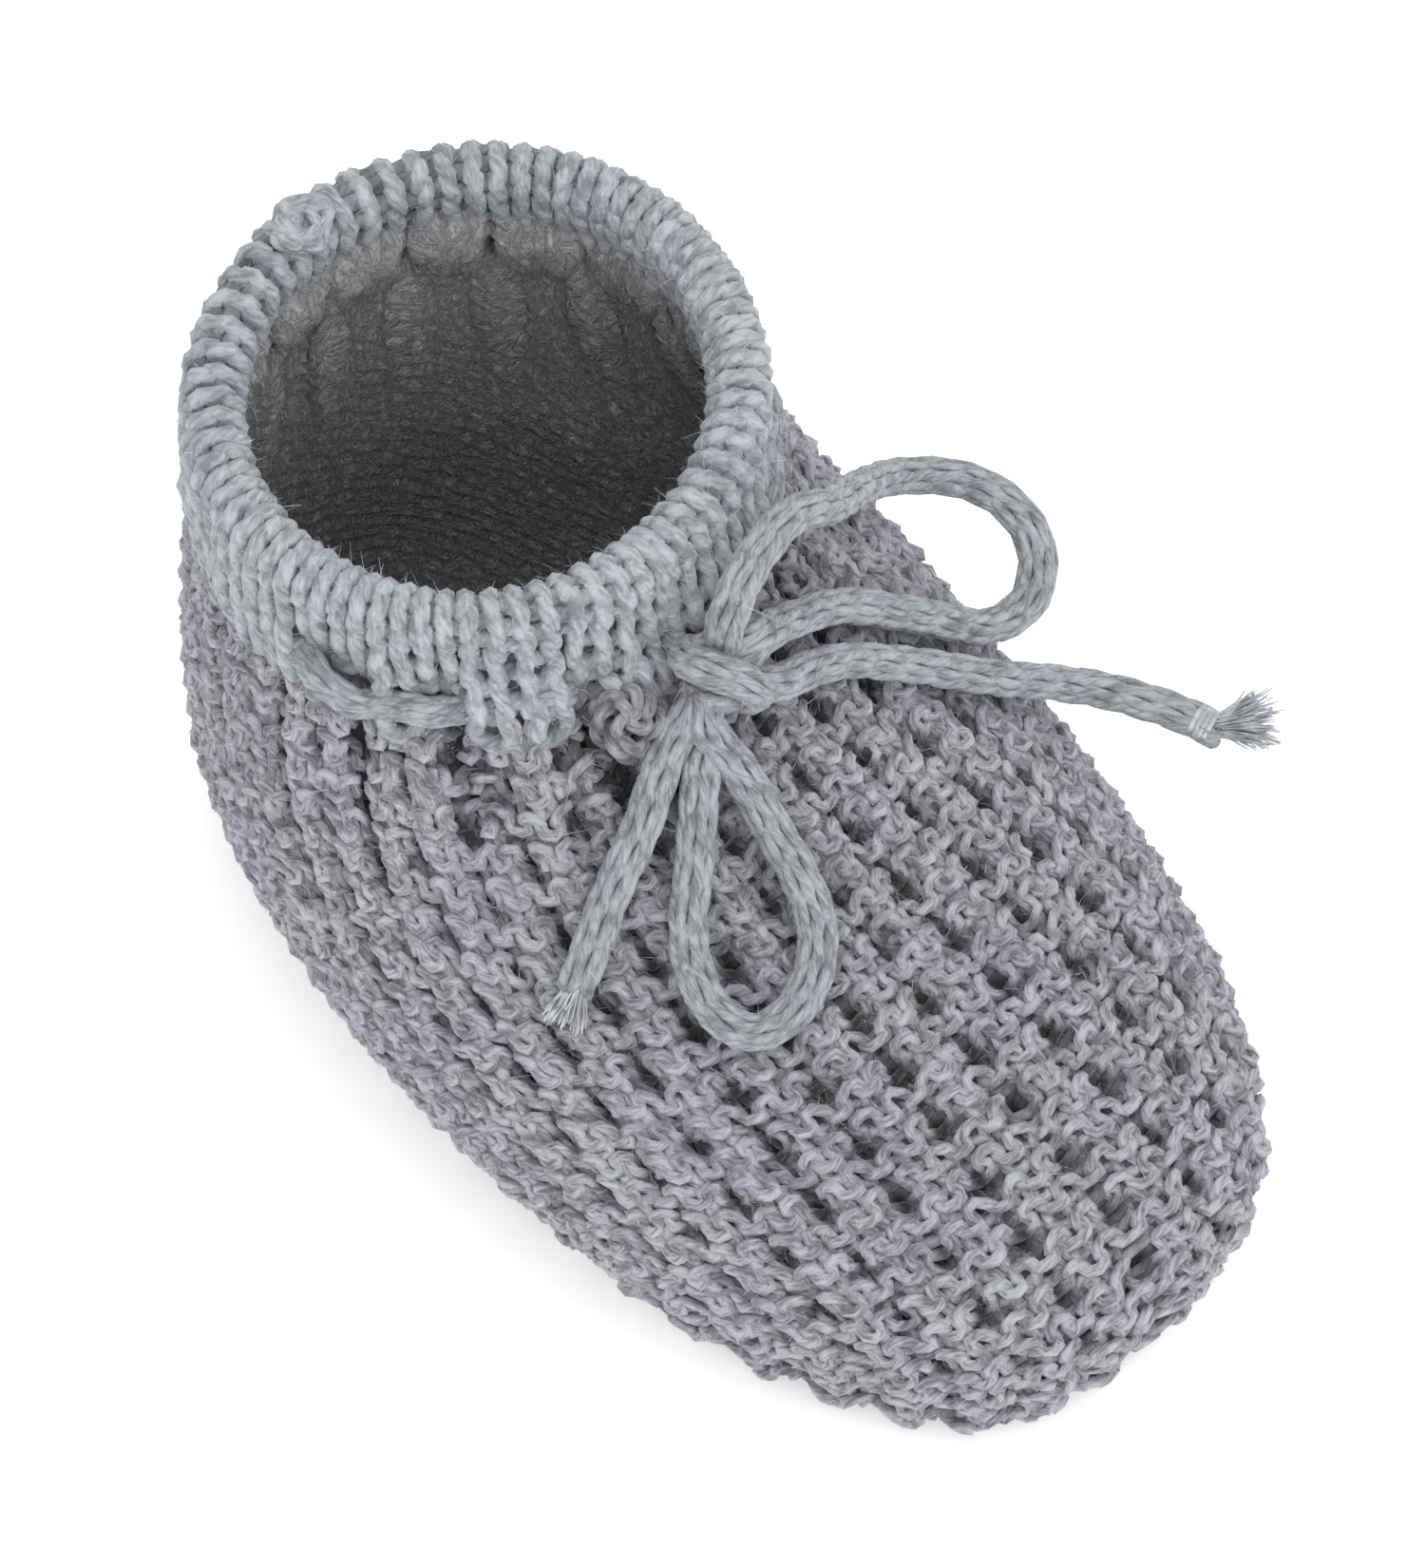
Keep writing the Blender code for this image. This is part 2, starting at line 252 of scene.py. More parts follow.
class Yarns:
    """Collects strands, then joins them into one mesh object."""

    def __init__(self, name):
        self.name = name
        self.places, self.quads, self.maps, self.lifts = [], [], [], []
        self.count = 0

    def add(self, lines, facing, radius, sides=6, lift=0.0):
        """Lines are m by n points. Lift is how high each point stands off the fabric, and the material paints shade
        by it.
        """
        lines = lines if lines.ndim == 3 else lines[None]
        facing = np.broadcast_to(facing, lines.shape)
        rings = swept(lines, facing, radius, sides)
        m, n = lines.shape[:2]
        step = np.linalg.norm(np.diff(lines, axis=1), axis=2)
        run = np.concatenate([np.zeros((m, 1)), np.cumsum(step, axis=1)], axis=1) / MM
        i, k = np.meshgrid(np.arange(n - 1), np.arange(sides), indexing="ij")
        after = (k + 1) % sides
        quad = np.stack([i * sides + k, i * sides + after, (i + 1) * sides + after, (i + 1) * sides + k], -1)
        start = self.count + np.arange(m) * n * sides
        self.quads.append((start[:, None, None, None] + quad[None]).reshape(-1, 4))
        around = np.stack([k, k + 1, k + 1, k], -1) / sides
        length = run[:, np.stack([i, i, i + 1, i + 1], -1)]
        self.maps.append(np.stack([length, np.broadcast_to(around, length.shape)], -1).reshape(-1, 4, 2))
        self.places.append(rings.reshape(-1, 3))
        self.lifts.append(np.broadcast_to(np.asarray(lift)[..., None], (m, n, sides)).reshape(-1) / MM)
        self.count += m * n * sides

    def made(self, material):
        places, quads = np.concatenate(self.places), np.concatenate(self.quads)
        mesh = mesh_of(self.name, places, quads)
        give_map(mesh, np.concatenate(self.maps))
        give_lift(mesh, np.concatenate(self.lifts))
        return object_of(mesh, material)


sample = swept(points(np.arange(5) * MM, 0, 0)[None], UP, 0.5 * MM, 6)
print("five points along a line become", sample.size // 3, "vertices round it")


# %% Shader nodes
def hexes(code):
    """An sRGB hex colour as linear RGBA."""
    parts = np.array([int(code[i : i + 2], 16) for i in (1, 3, 5)]) / 255
    linear = np.where(parts <= 0.04045, parts / 12.92, ((parts + 0.055) / 1.055) ** 2.4)
    return (*linear.tolist(), 1.0)


def add_node(tree, kind, links=None, **settings):
    """Adds a shader node. Settings name its properties or inputs; links feed its inputs."""
    node = tree.nodes.new(kind)
    for name, value in settings.items():
        if hasattr(node, name):
            setattr(node, name, value)
        else:
            node.inputs[name.replace("_", " ")].default_value = value
    for name, source in (links or {}).items():
        tree.links.new(source, node.inputs[name])
    return node


def new_material(name, rough, specular, sheen=0.0):
    """A material with its node tree and its shader."""
    material = bpy.data.materials.new(name)
    material.use_nodes = True
    shader = material.node_tree.nodes["Principled BSDF"]
    for what, value in (("Roughness", rough), ("Specular IOR Level", specular), ("Sheen Weight", sheen)):
        shader.inputs[what].default_value = value
    return material, material.node_tree, shader


def ramp_of(tree, source, first, second):
    """A colour ramp between two stops, each given as a place and a linear colour."""
    node = add_node(tree, "ShaderNodeValToRGB", {"Fac": source})
    for stop, (place, colour) in zip(node.color_ramp.elements, (first, second)):
        stop.position, stop.color = place, colour
    return node.outputs[0]


def painted_depth_shade(tree, colour, lowest, highest, darkest):
    """Painted shade: the colour, times a share that grows from darkest to 1 as the lift goes from lowest to highest.
    """
    lift = add_node(tree, "ShaderNodeAttribute", attribute_name="lift")
    share = add_node(tree, "ShaderNodeMapRange", {"Value": lift.outputs["Fac"]}, interpolation_type="SMOOTHSTEP",
                     From_Min=lowest, From_Max=highest, To_Min=darkest, To_Max=1.0)
    return add_node(tree, "ShaderNodeVectorMath", {0: colour, 1: share.outputs[0]}, operation="MULTIPLY").outputs[0]


print("hex #808080 is linear", round(hexes("#808080")[0], 3))


# %% [markdown]
# ## Wool
# The yarn is a soft woollen blend spun from light and dark grey fibres, so from close by it is a
# heather of fine streaks and from afar an even mid grey. Wool has no gloss: it is rough, with a pale
# sheen at grazing angles where loose fibres catch the light. Low parts of the stitches get painted
# shade: their colour is darkened, since fibre soaks up the light that does get down there.

# %% Wool
PLY_TWIST = 6.0  # mm of yarn for one turn of its plies
FIBRE_STREAK = 0.16  # mm across one streak of fibre, as coarse as it needs to be to show
GREENISH, BLUISH = (0.975, 1.0, 0.985, 1), (0.99, 0.98, 1.035, 1)  # how the grey drifts in patches


def wool(name, light, dark, shade=0.5, plies=2, twist=PLY_TWIST, ply_depth=0.09):
    material, tree, shader = new_material(name, 0.95, 0.15, 0.4)
    shader.inputs["Sheen Roughness"].default_value = 0.5
    shader.inputs["Sheen Tint"].default_value = hexes("#DDE0E4")
    spot = add_node(tree, "ShaderNodeTexCoord")
    strand = add_node(tree, "ShaderNodeUVMap", uv_map="yarn")
    split = add_node(tree, "ShaderNodeSeparateXYZ", {"Vector": strand.outputs["UV"]})
    # the angle round the strand, turning as it runs along, is what twists the plies
    turned = add_node(tree, "ShaderNodeMath", {0: split.outputs["X"]}, operation="DIVIDE")
    turned.inputs[1].default_value = twist
    lay = add_node(tree, "ShaderNodeMath", {0: split.outputs["Y"], 1: turned.outputs[0]}, operation="ADD")
    phase = add_node(tree, "ShaderNodeMath", {0: lay.outputs[0]}, operation="MULTIPLY")
    phase.inputs[1].default_value = 2 * np.pi * plies
    ply = add_node(tree, "ShaderNodeMath", {0: phase.outputs[0]}, operation="COSINE")
    fibre_place = add_node(tree, "ShaderNodeCombineXYZ", {"X": lay.outputs[0], "Y": split.outputs["X"]})
    stretch = add_node(tree, "ShaderNodeVectorMath", {0: fibre_place.outputs[0]}, operation="MULTIPLY")
    stretch.inputs[1].default_value = (3.6 / FIBRE_STREAK, 1.5, 1.0)
    fibres = add_node(tree, "ShaderNodeTexNoise", {"Vector": stretch.outputs[0]}, Scale=0.35, Detail=3.0)
    heather = add_node(tree, "ShaderNodeTexNoise", {"Vector": spot.outputs["Object"]}, Scale=700.0, Detail=4.0)
    patches = add_node(tree, "ShaderNodeTexNoise", {"Vector": spot.outputs["Object"]}, Scale=130.0, Detail=3.0)
    streaks = add_node(tree, "ShaderNodeMix", {"A": fibres.outputs[0], "B": heather.outputs[0]}, Factor=0.45)
    spread = add_node(tree, "ShaderNodeMapRange", {"Value": streaks.outputs[0]}, From_Min=0.39, From_Max=0.58)
    colour = add_node(tree, "ShaderNodeMix", {"Factor": spread.outputs[0]}, data_type="RGBA")
    colour.inputs[6].default_value = hexes(dark)
    colour.inputs[7].default_value = hexes(light)
    hue = ramp_of(tree, patches.outputs[0], (0.38, GREENISH), (0.62, BLUISH))
    tinted = add_node(tree, "ShaderNodeMix", data_type="RGBA", blend_type="MULTIPLY")
    tinted.inputs[0].default_value = 1.0
    tree.links.new(colour.outputs[2], tinted.inputs[6])
    tree.links.new(hue, tinted.inputs[7])
    # Painted shade: the yarn's colour is darkened where it lies low.
    shaded = painted_depth_shade(tree, tinted.outputs[2], -1.3, 0.05, 1 - shade)
    felt = add_node(tree, "ShaderNodeTexNoise", {"Vector": spot.outputs["Object"]}, Scale=2600.0, Detail=3.0)
    woolly = add_node(tree, "ShaderNodeMath", {0: fibres.outputs[0], 1: felt.outputs[0]}, operation="ADD")
    relief = add_node(tree, "ShaderNodeMath", {0: ply.outputs[0], 2: woolly.outputs[0]}, operation="MULTIPLY_ADD")
    relief.inputs[1].default_value = ply_depth
    bump = add_node(tree, "ShaderNodeBump", {"Height": relief.outputs[0]}, Strength=0.8, Distance=0.26 * MM)
    tree.links.new(shaded, shader.inputs["Base Color"])
    tree.links.new(bump.outputs[0], shader.inputs["Normal"])
    return material


print("the plies turn once in", PLY_TWIST, "mm")

# %% The wools
# Light and dark fibres are further apart in the foot's yarn, and its hollows get the darkest painted shade.
body_wool = wool("grey heather wool, foot", light="#B2B2B8", dark="#6C6C72", shade=0.9)
# The cuff's yarn lies smoother and catches more light, so its greys are painted paler and more even, with less
# painted shade.
cuff_wool = wool("grey heather wool, cuff", light="#B3B6BA", dark="#7E8185", shade=0.75)
# The cord's yarn is drawn tight, so that only a narrow range of greys is left between its Vs.
cord_wool = wool("grey heather wool, cord", light="#A8AAAE", dark="#75777B", shade=0.62)

# Single fibres and teased yarn ends are too fine to show any twist, so they have only the heather.
fibre_material, fibre_tree, fibre_shader = new_material("loose wool fibre", 0.8, 0.2)
fibre_spot = add_node(fibre_tree, "ShaderNodeTexCoord")
fibre_mix = add_node(fibre_tree, "ShaderNodeTexNoise", {"Vector": fibre_spot.outputs["Object"]}, Scale=600.0)
fibre_grey = ramp_of(fibre_tree, fibre_mix.outputs[0], (0.4, hexes("#A4A6AA")), (0.6, hexes("#CFD2D5")))
fibre_tree.links.new(fibre_grey, fibre_shader.inputs["Base Color"])
print("wool:", ", ".join(material.name for material in (body_wool, cuff_wool, cord_wool, fibre_material)))

# %% [markdown]
# ## The cords
# The bow is one knitted tube, four stitches round, made on a little bell knitter. Its stitches are
# longer than wide, so it looks like a rope of slanting Vs. Each cord's route is a smooth curve
# through listed places, measured from the middle of the knot, the same as in the frame.

# %% Cord routes
knot_low, knot_high = (np.array(corner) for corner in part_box("bow_knot"))
KNOT = (knot_low + knot_high) / 2
BOW_ROUTES = {  # millimetres from the middle of the knot
    "bow_loop_left": (
        (0.9, 0.9, 1.7), (2.2, 1.2, 4.6), (6.2, 2.8, 5.4), (11.8, 4.2, 4.8), (16.8, 4.6, 1.2), (21.8, 7.0, -3.6),
        (27.6, 8.2, -8.4), (32.2, 5.8, -10.6), (34.0, 2.0, -11.8), (33.5, -1.8, -13.6), (30.3, -4.2, -15.2),
        (25.6, -4.0, -14.6), (20.5, -1.4, -10.8), (14.5, 1.0, -6.2), (8.8, 1.0, -2.6), (5.4, 0.6, -0.8),
        (2.1, 0.1, -0.4),
    ),
    "bow_loop_down": (
        (-1.8, -0.2, -1.0), (-2.9, -1.6, -3.0), (-2.0, -4.4, -6.8), (-2.2, -7.8, -10.2), (-2.8, -11.5, -12.3),
        (-4.2, -14.9, -14.1), (-7.2, -17.5, -15.4), (-10.8, -18.4, -16.3), (-13.7, -17.5, -16.5),
        (-14.8, -14.7, -15.7), (-13.9, -11.3, -14.0), (-11.8, -8.6, -12.1), (-9.0, -6.4, -10.3), (-6.2, -4.0, -7.8),
        (-4.2, -2.4, -5.6), (-1.7, -0.8, -4.5),
    ),
    "cord_end_left": (
        (2.1, -0.7, -2.4), (4.4, -1.8, -4.0), (8.4, -1.6, -6.0), (12.4, -2.2, -8.2), (17.7, -4.6, -11.7),
        (23.2, -7.6, -15.6), (27.2, -9.6, -18.0), (30.8, -12.8, -19.6), (33.6, -17.2, -20.6), (35.0, -20.8, -21.2),
    ),
    "cord_end_down": (
        (3.8, -0.2, 0.4), (0.6, 0.3, -0.4), (-2.7, 0.1, -2.5), (-5.3, -0.1, -4.1), (-8.0, -1.1, -6.2),
        (-11.0, -2.4, -8.0), (-14.8, -3.5, -10.3), (-18.6, -5.0, -12.7), (-21.6, -6.2, -14.6),
    ),
}
# The frame's solids stop where the knot's solid begins, and these routes run on into the knot.
print("the knot is at", (KNOT / MM).round(1), "mm")


# %% Curves through places
def smooth_through(route, spacing):
    """Points at an even spacing along a Catmull-Rom curve through the route's points."""
    route = np.array(route, float)
    padded = np.concatenate([[2 * route[0] - route[1]], route, [2 * route[-1] - route[-2]]])
    fine = []
    for a, b, c, d in zip(padded, padded[1:], padded[2:], padded[3:]):
        for t in np.linspace(0, 1, 20, endpoint=False):
            bend = (-a + 3 * b - 3 * c + d) * t**3 + (2 * a - 5 * b + 4 * c - d) * t * t + (c - a) * t
            fine.append(b + bend / 2)
    fine = np.array(fine + [route[-1]])
    along = np.concatenate([[0], np.cumsum(np.linalg.norm(np.diff(fine, axis=0), axis=1))])
    at = np.linspace(0, along[-1], max(2, round(along[-1] / spacing) + 1))
    return np.stack([np.interp(at, along, fine[:, k]) for k in range(3)], axis=1)


def length_of(line):
    return float(np.linalg.norm(np.diff(line, axis=0), axis=1).sum())


def frames_along(line):
    """A direction across the line at each point that doesn't spin as the line bends."""
    along = unit(np.gradient(line, axis=0))
    across = np.zeros_like(line)
    across[0] = unit(np.cross(along[0], [0.3, 0.2, 1.0]))
    for i in range(1, len(line)):
        across[i] = unit(across[i - 1] - along[i] * (across[i - 1] @ along[i]))
    return along, across, np.cross(along, across)


for node, route in BOW_ROUTES.items():
    print(node, "runs", round(length_of(smooth_through(route, 0.5)), 1), "mm")

# %% Knitting a cord
CORD_STITCHES = 4  # round the tube
CORD_COURSE = 3.0 * MM  # how far the tube grows with each round
CORD_STRAND = 0.46 * MM  # the yarn's radius, drawn tight
CORD_WIDER, CORD_FLATTER = 1.14, 0.9  # a soft tube lies a little flat
CORD_POINTS = 12  # to a stitch
CORD_REACH, CORD_SLANT, CORD_WEAVE = 0.80, 0.19, 0.30  # how a stitch reaches along, aside and in


def knit_cord(yarns, line, thick=CORD, course=CORD_COURSE, spin=0.0):
    """A spiral of jersey loops round a centre line, over a plain core."""
    along, across, over = frames_along(line)
    level_over = unit(np.cross(along, np.cross(UP, along) + 1e-9))
    run = np.concatenate([[0], np.cumsum(np.linalg.norm(np.diff(line, axis=0), axis=1))])
    stitches = run[-1] / course * CORD_STITCHES
    wale = np.arange(0, stitches, 1 / CORD_POINTS)
    t = 2 * np.pi * wale
    at = np.clip(wale / CORD_STITCHES * course - CORD_REACH * course * np.cos(t), 0, run[-1])
    turn = 2 * np.pi / CORD_STITCHES * (wale + CORD_SLANT * np.sin(2 * t)) + spin
    core = thick / 2 - 2 * CORD_STRAND
    out = core + CORD_STRAND * 0.95 - CORD_WEAVE * CORD_STRAND * np.cos(2 * t)
    bits = [np.stack([np.interp(at, run, v[:, k]) for k in range(3)], 1) for v in (line, across, over)]
    radial = unit(bits[1] * np.cos(turn)[:, None] + bits[2] * np.sin(turn)[:, None])
    offset = radial * out[:, None]
    upright = np.stack([np.interp(at, run, level_over[:, k]) for k in range(3)], 1)
    over_part = (offset * upright).sum(-1) * (CORD_FLATTER - CORD_WIDER)
    offset = offset * CORD_WIDER + upright * over_part[:, None]
    strand = bits[0] + offset
    # Painted shade: the lifts darken each loop where it dips, and the plain core most, since it shows only in the
    # gaps.
    yarns.add(strand, radial, CORD_STRAND, lift=-0.55 * MM * (1 + np.cos(2 * t)) + 0.3 * MM)
    taper = np.ones(len(line))
    taper[[0, -1]] = 0.2
    yarns.add(line, across, (core + CORD_STRAND * 0.55) * taper, lift=-1.4 * MM)


print("a cord has", CORD_STITCHES, "stitches to each", round(CORD_COURSE / MM, 1), "mm")


# %% Cord ends
def frayed_tip(yarns, root, heading, spread, length, strands=34):
    """Yarn ends teased apart beyond the cord's last round."""
    sideways = unit(np.cross(heading, UP))
    other = np.cross(sideways, heading)
    angle = RNG.uniform(0, 2 * np.pi, strands)
    reach = np.sqrt(RNG.uniform(0, 1, strands))
    flare = (sideways * np.cos(angle)[:, None] + other * np.sin(angle)[:, None]) * reach[:, None]
    long = length * RNG.uniform(0.55, 1.0, strands)
    t = np.linspace(0, 1, 7)[None, :, None]
    wave = np.sin(t * 5 + RNG.uniform(0, 6, (strands, 1, 1))) * 0.22 * MM
    lines = root + flare[:, None] * (0.75 * MM + spread * t**1.5) + heading * long[:, None, None] * t
    lines = lines + wave * np.roll(flare, 1, axis=1)[:, None] * t
    size = 0.10 * MM * (1 - 0.4 * t[..., 0])
    yarns.add(lines, np.broadcast_to(unit(np.cross(heading, sideways)), lines.shape), size, sides=4)


BINDING_THREAD = 0.26 * MM


def add_binding(yarns, centre, heading, radius, turns=4):
    """Thread wound round a cord's end, so that it doesn't run."""
    sideways = unit(np.cross(heading, UP))
    other = np.cross(sideways, heading)
    angle = np.linspace(0, 2 * np.pi * turns, turns * 16)
    ring = sideways * np.cos(angle)[:, None] + other * np.sin(angle)[:, None]
    lift = np.linspace(-0.5, 0.5, len(angle))[:, None] * turns * 0.42 * MM
    yarns.add(centre + ring * radius + heading * lift, ring, BINDING_THREAD)


print("the binding's thread is", round(2 * BINDING_THREAD / MM, 2), "mm thick")

# %% The bow
CORD_FACTS = {
    "bow_loop_left": ("knitted_loop_left", "knot", 0.4),
    "bow_loop_down": ("knitted_loop_down", "knot", 1.0),
    "cord_end_left": ("knitted_end_left", "bare", 0.1),
    "cord_end_down": ("knitted_end_down", "bare", 0.7),
}
for node, (name, far_end, spin) in CORD_FACTS.items():
    line = smooth_through(np.array(BOW_ROUTES[node]) * MM, 0.5 * MM) + KNOT
    yarns = Yarns(name)
    knit_cord(yarns, line, spin=spin)
    heading = unit(line[-1] - line[-4])
    tip = Yarns(name.replace("knitted", "frayed"))
    if node == "cord_end_left":
        add_binding(tip, line[-1] - heading * 1.3 * MM, heading, CORD / 2 - 0.15 * MM)
        frayed_tip(tip, line[-1] - heading * MM, unit(heading + np.array([0.5, 0.0, 0.55])), 1.7 * MM, 5.6 * MM, 260)
    if node == "cord_end_down":
        frayed_tip(tip, line[-1] - heading * MM, heading, 1.0 * MM, 4.2 * MM, 110)
    tips = []
    if tip.count:
        tips.append(tip.made(fibre_material))
        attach(tips[0], "root")
    piece = yarns.made(cord_wool)
    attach(piece, "root")
    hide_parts(node)
    print(name, round(length_of(line) / MM, 1), "mm")

# %% [markdown]
# The knot is tied in the same cord. It is easiest to place as the eye meets it, so its places are
# given sideways, upwards and towards the viewer: one turn lies across the front, and two more come
# from behind it, so that each side of the knot is a round shoulder.

# %% The knot
KNOT_TURNS = (
    # across the front, from behind the left shoulder round the right one
    ((-1.5, 1.7, -2.4), (-2.6, 1.3, -0.7), (-2.1, 0.7, 1.0), (-0.5, 0.1, 1.8), (1.3, -0.6, 1.7),
     (2.7, -1.3, 0.8), (2.9, -1.8, -0.8), (1.4, -1.8, -2.2)),
    # over the top of it, into the loop on the wearer's left
    ((-2.2, 0.2, -1.4), (-1.2, 1.6, -0.3), (0.4, 2.0, 0.0), (2.0, 2.6, -0.4), (3.4, 3.4, -1.2)),
    # under it, where the loop that hangs down begins
    ((-2.0, -0.8, -1.4), (-1.0, -1.7, -0.3), (0.4, -1.9, 0.0), (1.8, -1.2, -0.8)),
)
knot_yarns = Yarns("tied_knot")
for number, route in enumerate(KNOT_TURNS):
    seen = np.array(route) * MM
    placed = KNOT + right * seen[:, :1] + up * seen[:, 1:2] + back * seen[:, 2:]
    knit_cord(knot_yarns, smooth_through(placed, 0.4 * MM), spin=0.8 * number)
knot = knot_yarns.made(cord_wool)
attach(knot, "root")
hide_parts("bow_knot")

# %% [markdown]
# ## The fabric's own map
# Every stitch needs a place on the foot. The fabric map holds one: its columns are wales, evenly
# spaced round the foot, and its rows are distances along the fabric from the waist, down over the
# foot and under the sole's edge, or up over the cuff's roll and down inside it.

# %% Gathers and eyelets
# The drawstring shows in floats between the gathers. Each row: the angle at the middle of a float,
# half of its width, both in degrees round the waist, and how much of it shows, from 0 to 1.
FLOATS = ((12, 8, 0.8), (33, 7, 0.8), (53, 8, 0.7), (75, 8, 0.6), (97, 7, 0.5), (118, 8, 0.5), (139, 7, 0.4),
          (158, 6, 0.4), (207, 4, 0.1), (232.5, 6, 0.85), (250.5, 8.5, 1.0), (272, 7, 0.25), (293, 7, 0.25),
          (313, 7, 0.35), (334, 8, 0.6), (354, 6, 0.8))
# Soft ridges and troughs: angle, middle's distance below the waist in mm (above it is negative),
# half width in degrees, half length in mm, and height in mm, which is negative for a trough.
CREASES = (
    (194, 2.6, 5.0, 3.0, 1.0), (203, 2.0, 2.2, 4.4, -3.6), (197, -2.2, 5.0, 1.2, -2.0),
    (242, 3.6, 13.0, 1.3, -1.4), (195, 7.6, 6.5, 1.7, -2.6), (182, -2.5, 5.0, 2.0, -1.8),
    (230, -1.5, 2.2, 3.0, -1.4), (226, 1.0, 2.0, 2.5, -1.6), (213, 4.0, 5.0, 5.0, 1.2),
    (225.5, 5.5, 2.4, 5.0, -2.1), (237, 5.5, 4.5, 5.0, 0.9), (246, 6.5, 2.6, 6.0, -1.3),
    (256, 5.5, 4.5, 6.0, 0.7), (264, 6.0, 2.4, 7.0, -1.1), (274, 5.0, 3.5, 6.0, 0.4), (283, 6.0, 2.4, 7.0, -1.0),
    (303, 6.0, 2.6, 7.5, -1.0), (323, 6.0, 2.6, 7.0, -1.0), (344, 6.0, 2.6, 7.0, -1.0),
    (3, 6.0, 2.8, 8.0, -1.0), (23, 6.0, 2.8, 8.0, -1.0), (43, 6.0, 2.8, 8.0, -1.0),
    (64, 6.0, 2.8, 8.0, -1.0), (86, 6.0, 2.8, 8.0, -1.0), (108, 5.5, 2.8, 8.0, -1.1),
    (128, 5.0, 2.6, 7.5, -1.2), (149, 4.5, 2.6, 6.5, -1.5), (168, 4.0, 3.0, 5.0, 0.8),
    (180, 9.0, 4.0, 5.0, -0.9), (232, 24.0, 14.0, 6.0, 0.5), (262, 17.0, 10.0, 6.0, -0.5),
    (110, 20.0, 12.0, 6.0, 0.5), (300, 26.0, 16.0, 6.0, -0.5), (60, 24.0, 16.0, 6.0, -0.5),
    (225, -5.0, 2.5, 4.0, -0.6), (212, -4.5, 4.0, 4.0, 0.6), (258, -5.5, 3.0, 4.0, -0.4),
    (240, -4.0, 8.0, 2.6, 0.7), (275, -4.0, 14.0, 2.6, 0.6), (315, -4.0, 16.0, 2.6, 0.5),
    (286, -5.5, 3.0, 4.0, -0.4), (140, -5.5, 3.0, 4.0, -0.4), (100, -5.5, 3.0, 4.0, -0.3),
)


def degrees_apart(a, b):
    return (np.degrees(a) - b + 180) % 360 - 180


def float_mask(angle):
    """1 where the drawstring is outside the fabric and -1 where the fabric covers it."""
    shown = sum(much * smoothstep(1.5 - np.abs(degrees_apart(angle, at)) / half) for at, half, much in FLOATS)
    return 2 * np.clip(shown, 0, 1) - 1


def crease_height(angle, down):
    height = 0.0
    for at, middle, wide, long, high in CREASES:
        across = degrees_apart(angle, at) / wide
        height = height + high * MM * np.exp(-across**2 - ((down / MM - middle) / long) ** 2)
    return height


print(len(FLOATS), "floats of the drawstring,", len(CREASES), "creases")

# %% One wale's route
FULL_ROLL = 2.7 * MM  # the knitted rim is a little fuller than the frame's
ROLL_LEAN = np.array([0.7, -0.9, 1.2]) * MM  # and leans to the wearer's left and to the toe
ROLL_FROM, ROLL_TO = 188, -30  # degrees of the roll's circle, from inside the shoe to outside
INSIDE_GAP = 2.6 * MM  # from the waist's outside to its inside
EDGE_CURL, TOE_CURL = 4 * MM, 8 * MM  # how far the edge curls under the sole, and how much more at the toe
UNDER_FLAT = 6 * MM  # how far it then runs on, level


def profile(angle):
    """One wale's route, from inside the cuff, over its roll, down the foot and under the sole's edge."""
    a = np.atleast_1d(angle)
    roll = collar(a) + ROLL_LEAN
    turns = np.radians(np.linspace(ROLL_FROM, ROLL_TO, 15))
    over = [roll + level_outward(a) * FULL_ROLL * np.cos(v) + UP * FULL_ROLL * np.sin(v) for v in turns]
    inside = waist(a) - level_outward(a) * INSIDE_GAP
    below = [over[0] * (1 - s) + inside * s for s in (1.0, 0.75, 0.5, 0.25)]
    cuff = [over[-1] * (1 - s) + waist(a) * s for s in (0.25, 0.5, 0.75)]
    body = [foot(a, t) for t in np.linspace(1, 0, 60)]
    edge = outline(a)
    inset = EDGE_CURL + TOE_CURL * toe_share(a)[:, None] ** 4
    under = []
    for v in np.linspace(np.pi / 2, 0, 8):
        ring = edge - outward(a) * inset * (1 - np.sin(v))
        ring[:, 2] = edge[:, 2] * 0.55 * (1 - np.cos(v))
        under.append(ring)
    under.append(under[-1] - outward(a) * UNDER_FLAT)
    rows = below + over + cuff + body + under
    return np.stack(rows), len(below) + len(over) + len(cuff)


print("a wale's route has", len(profile(0.0)[0]), "places")

# %% The map
WALES = 72
PER_WALE = 4  # columns of the map to a wale
DOWN_STEP = 0.6 * MM
DOWN_FROM, DOWN_TO = -24 * MM, 84 * MM
FABRIC_DEPTH = 1.1 * MM  # the middle of the stitches is this far inside the last's surface
EYELET_DOWN, EYELET_LONG = -1.9 * MM, 2.3 * MM
EYELET_PULL, FLOAT_SINK = 0.8 * MM, 1.5 * MM  # the waist's groove, and how floats and gathers differ from it


def even_angles(count):
    """Angles that are evenly spaced along a ring half way up the foot, starting at the heel."""
    fine = np.linspace(0, 2 * np.pi, 2000)
    ring = foot(fine, 0.5)
    run = np.concatenate([[0], np.cumsum(np.linalg.norm(np.diff(ring, axis=0), axis=1))])
    return np.interp(np.linspace(0, run[-1], count), run, fine)


MAP_ANGLES = even_angles(WALES * PER_WALE + 1)
rows, waist_row = profile(MAP_ANGLES)
steps = np.linalg.norm(np.diff(rows, axis=0), axis=2)
run = np.concatenate([np.zeros((1, rows.shape[1])), np.cumsum(steps, axis=0)])
run -= run[waist_row]
MAP_DOWNS = np.arange(DOWN_FROM, DOWN_TO, DOWN_STEP)
base = np.stack([np.stack([np.interp(MAP_DOWNS, run[:, c], rows[:, c, k]) for k in range(3)], -1)
                 for c in range(len(MAP_ANGLES))])
LIMIT = run[-1]


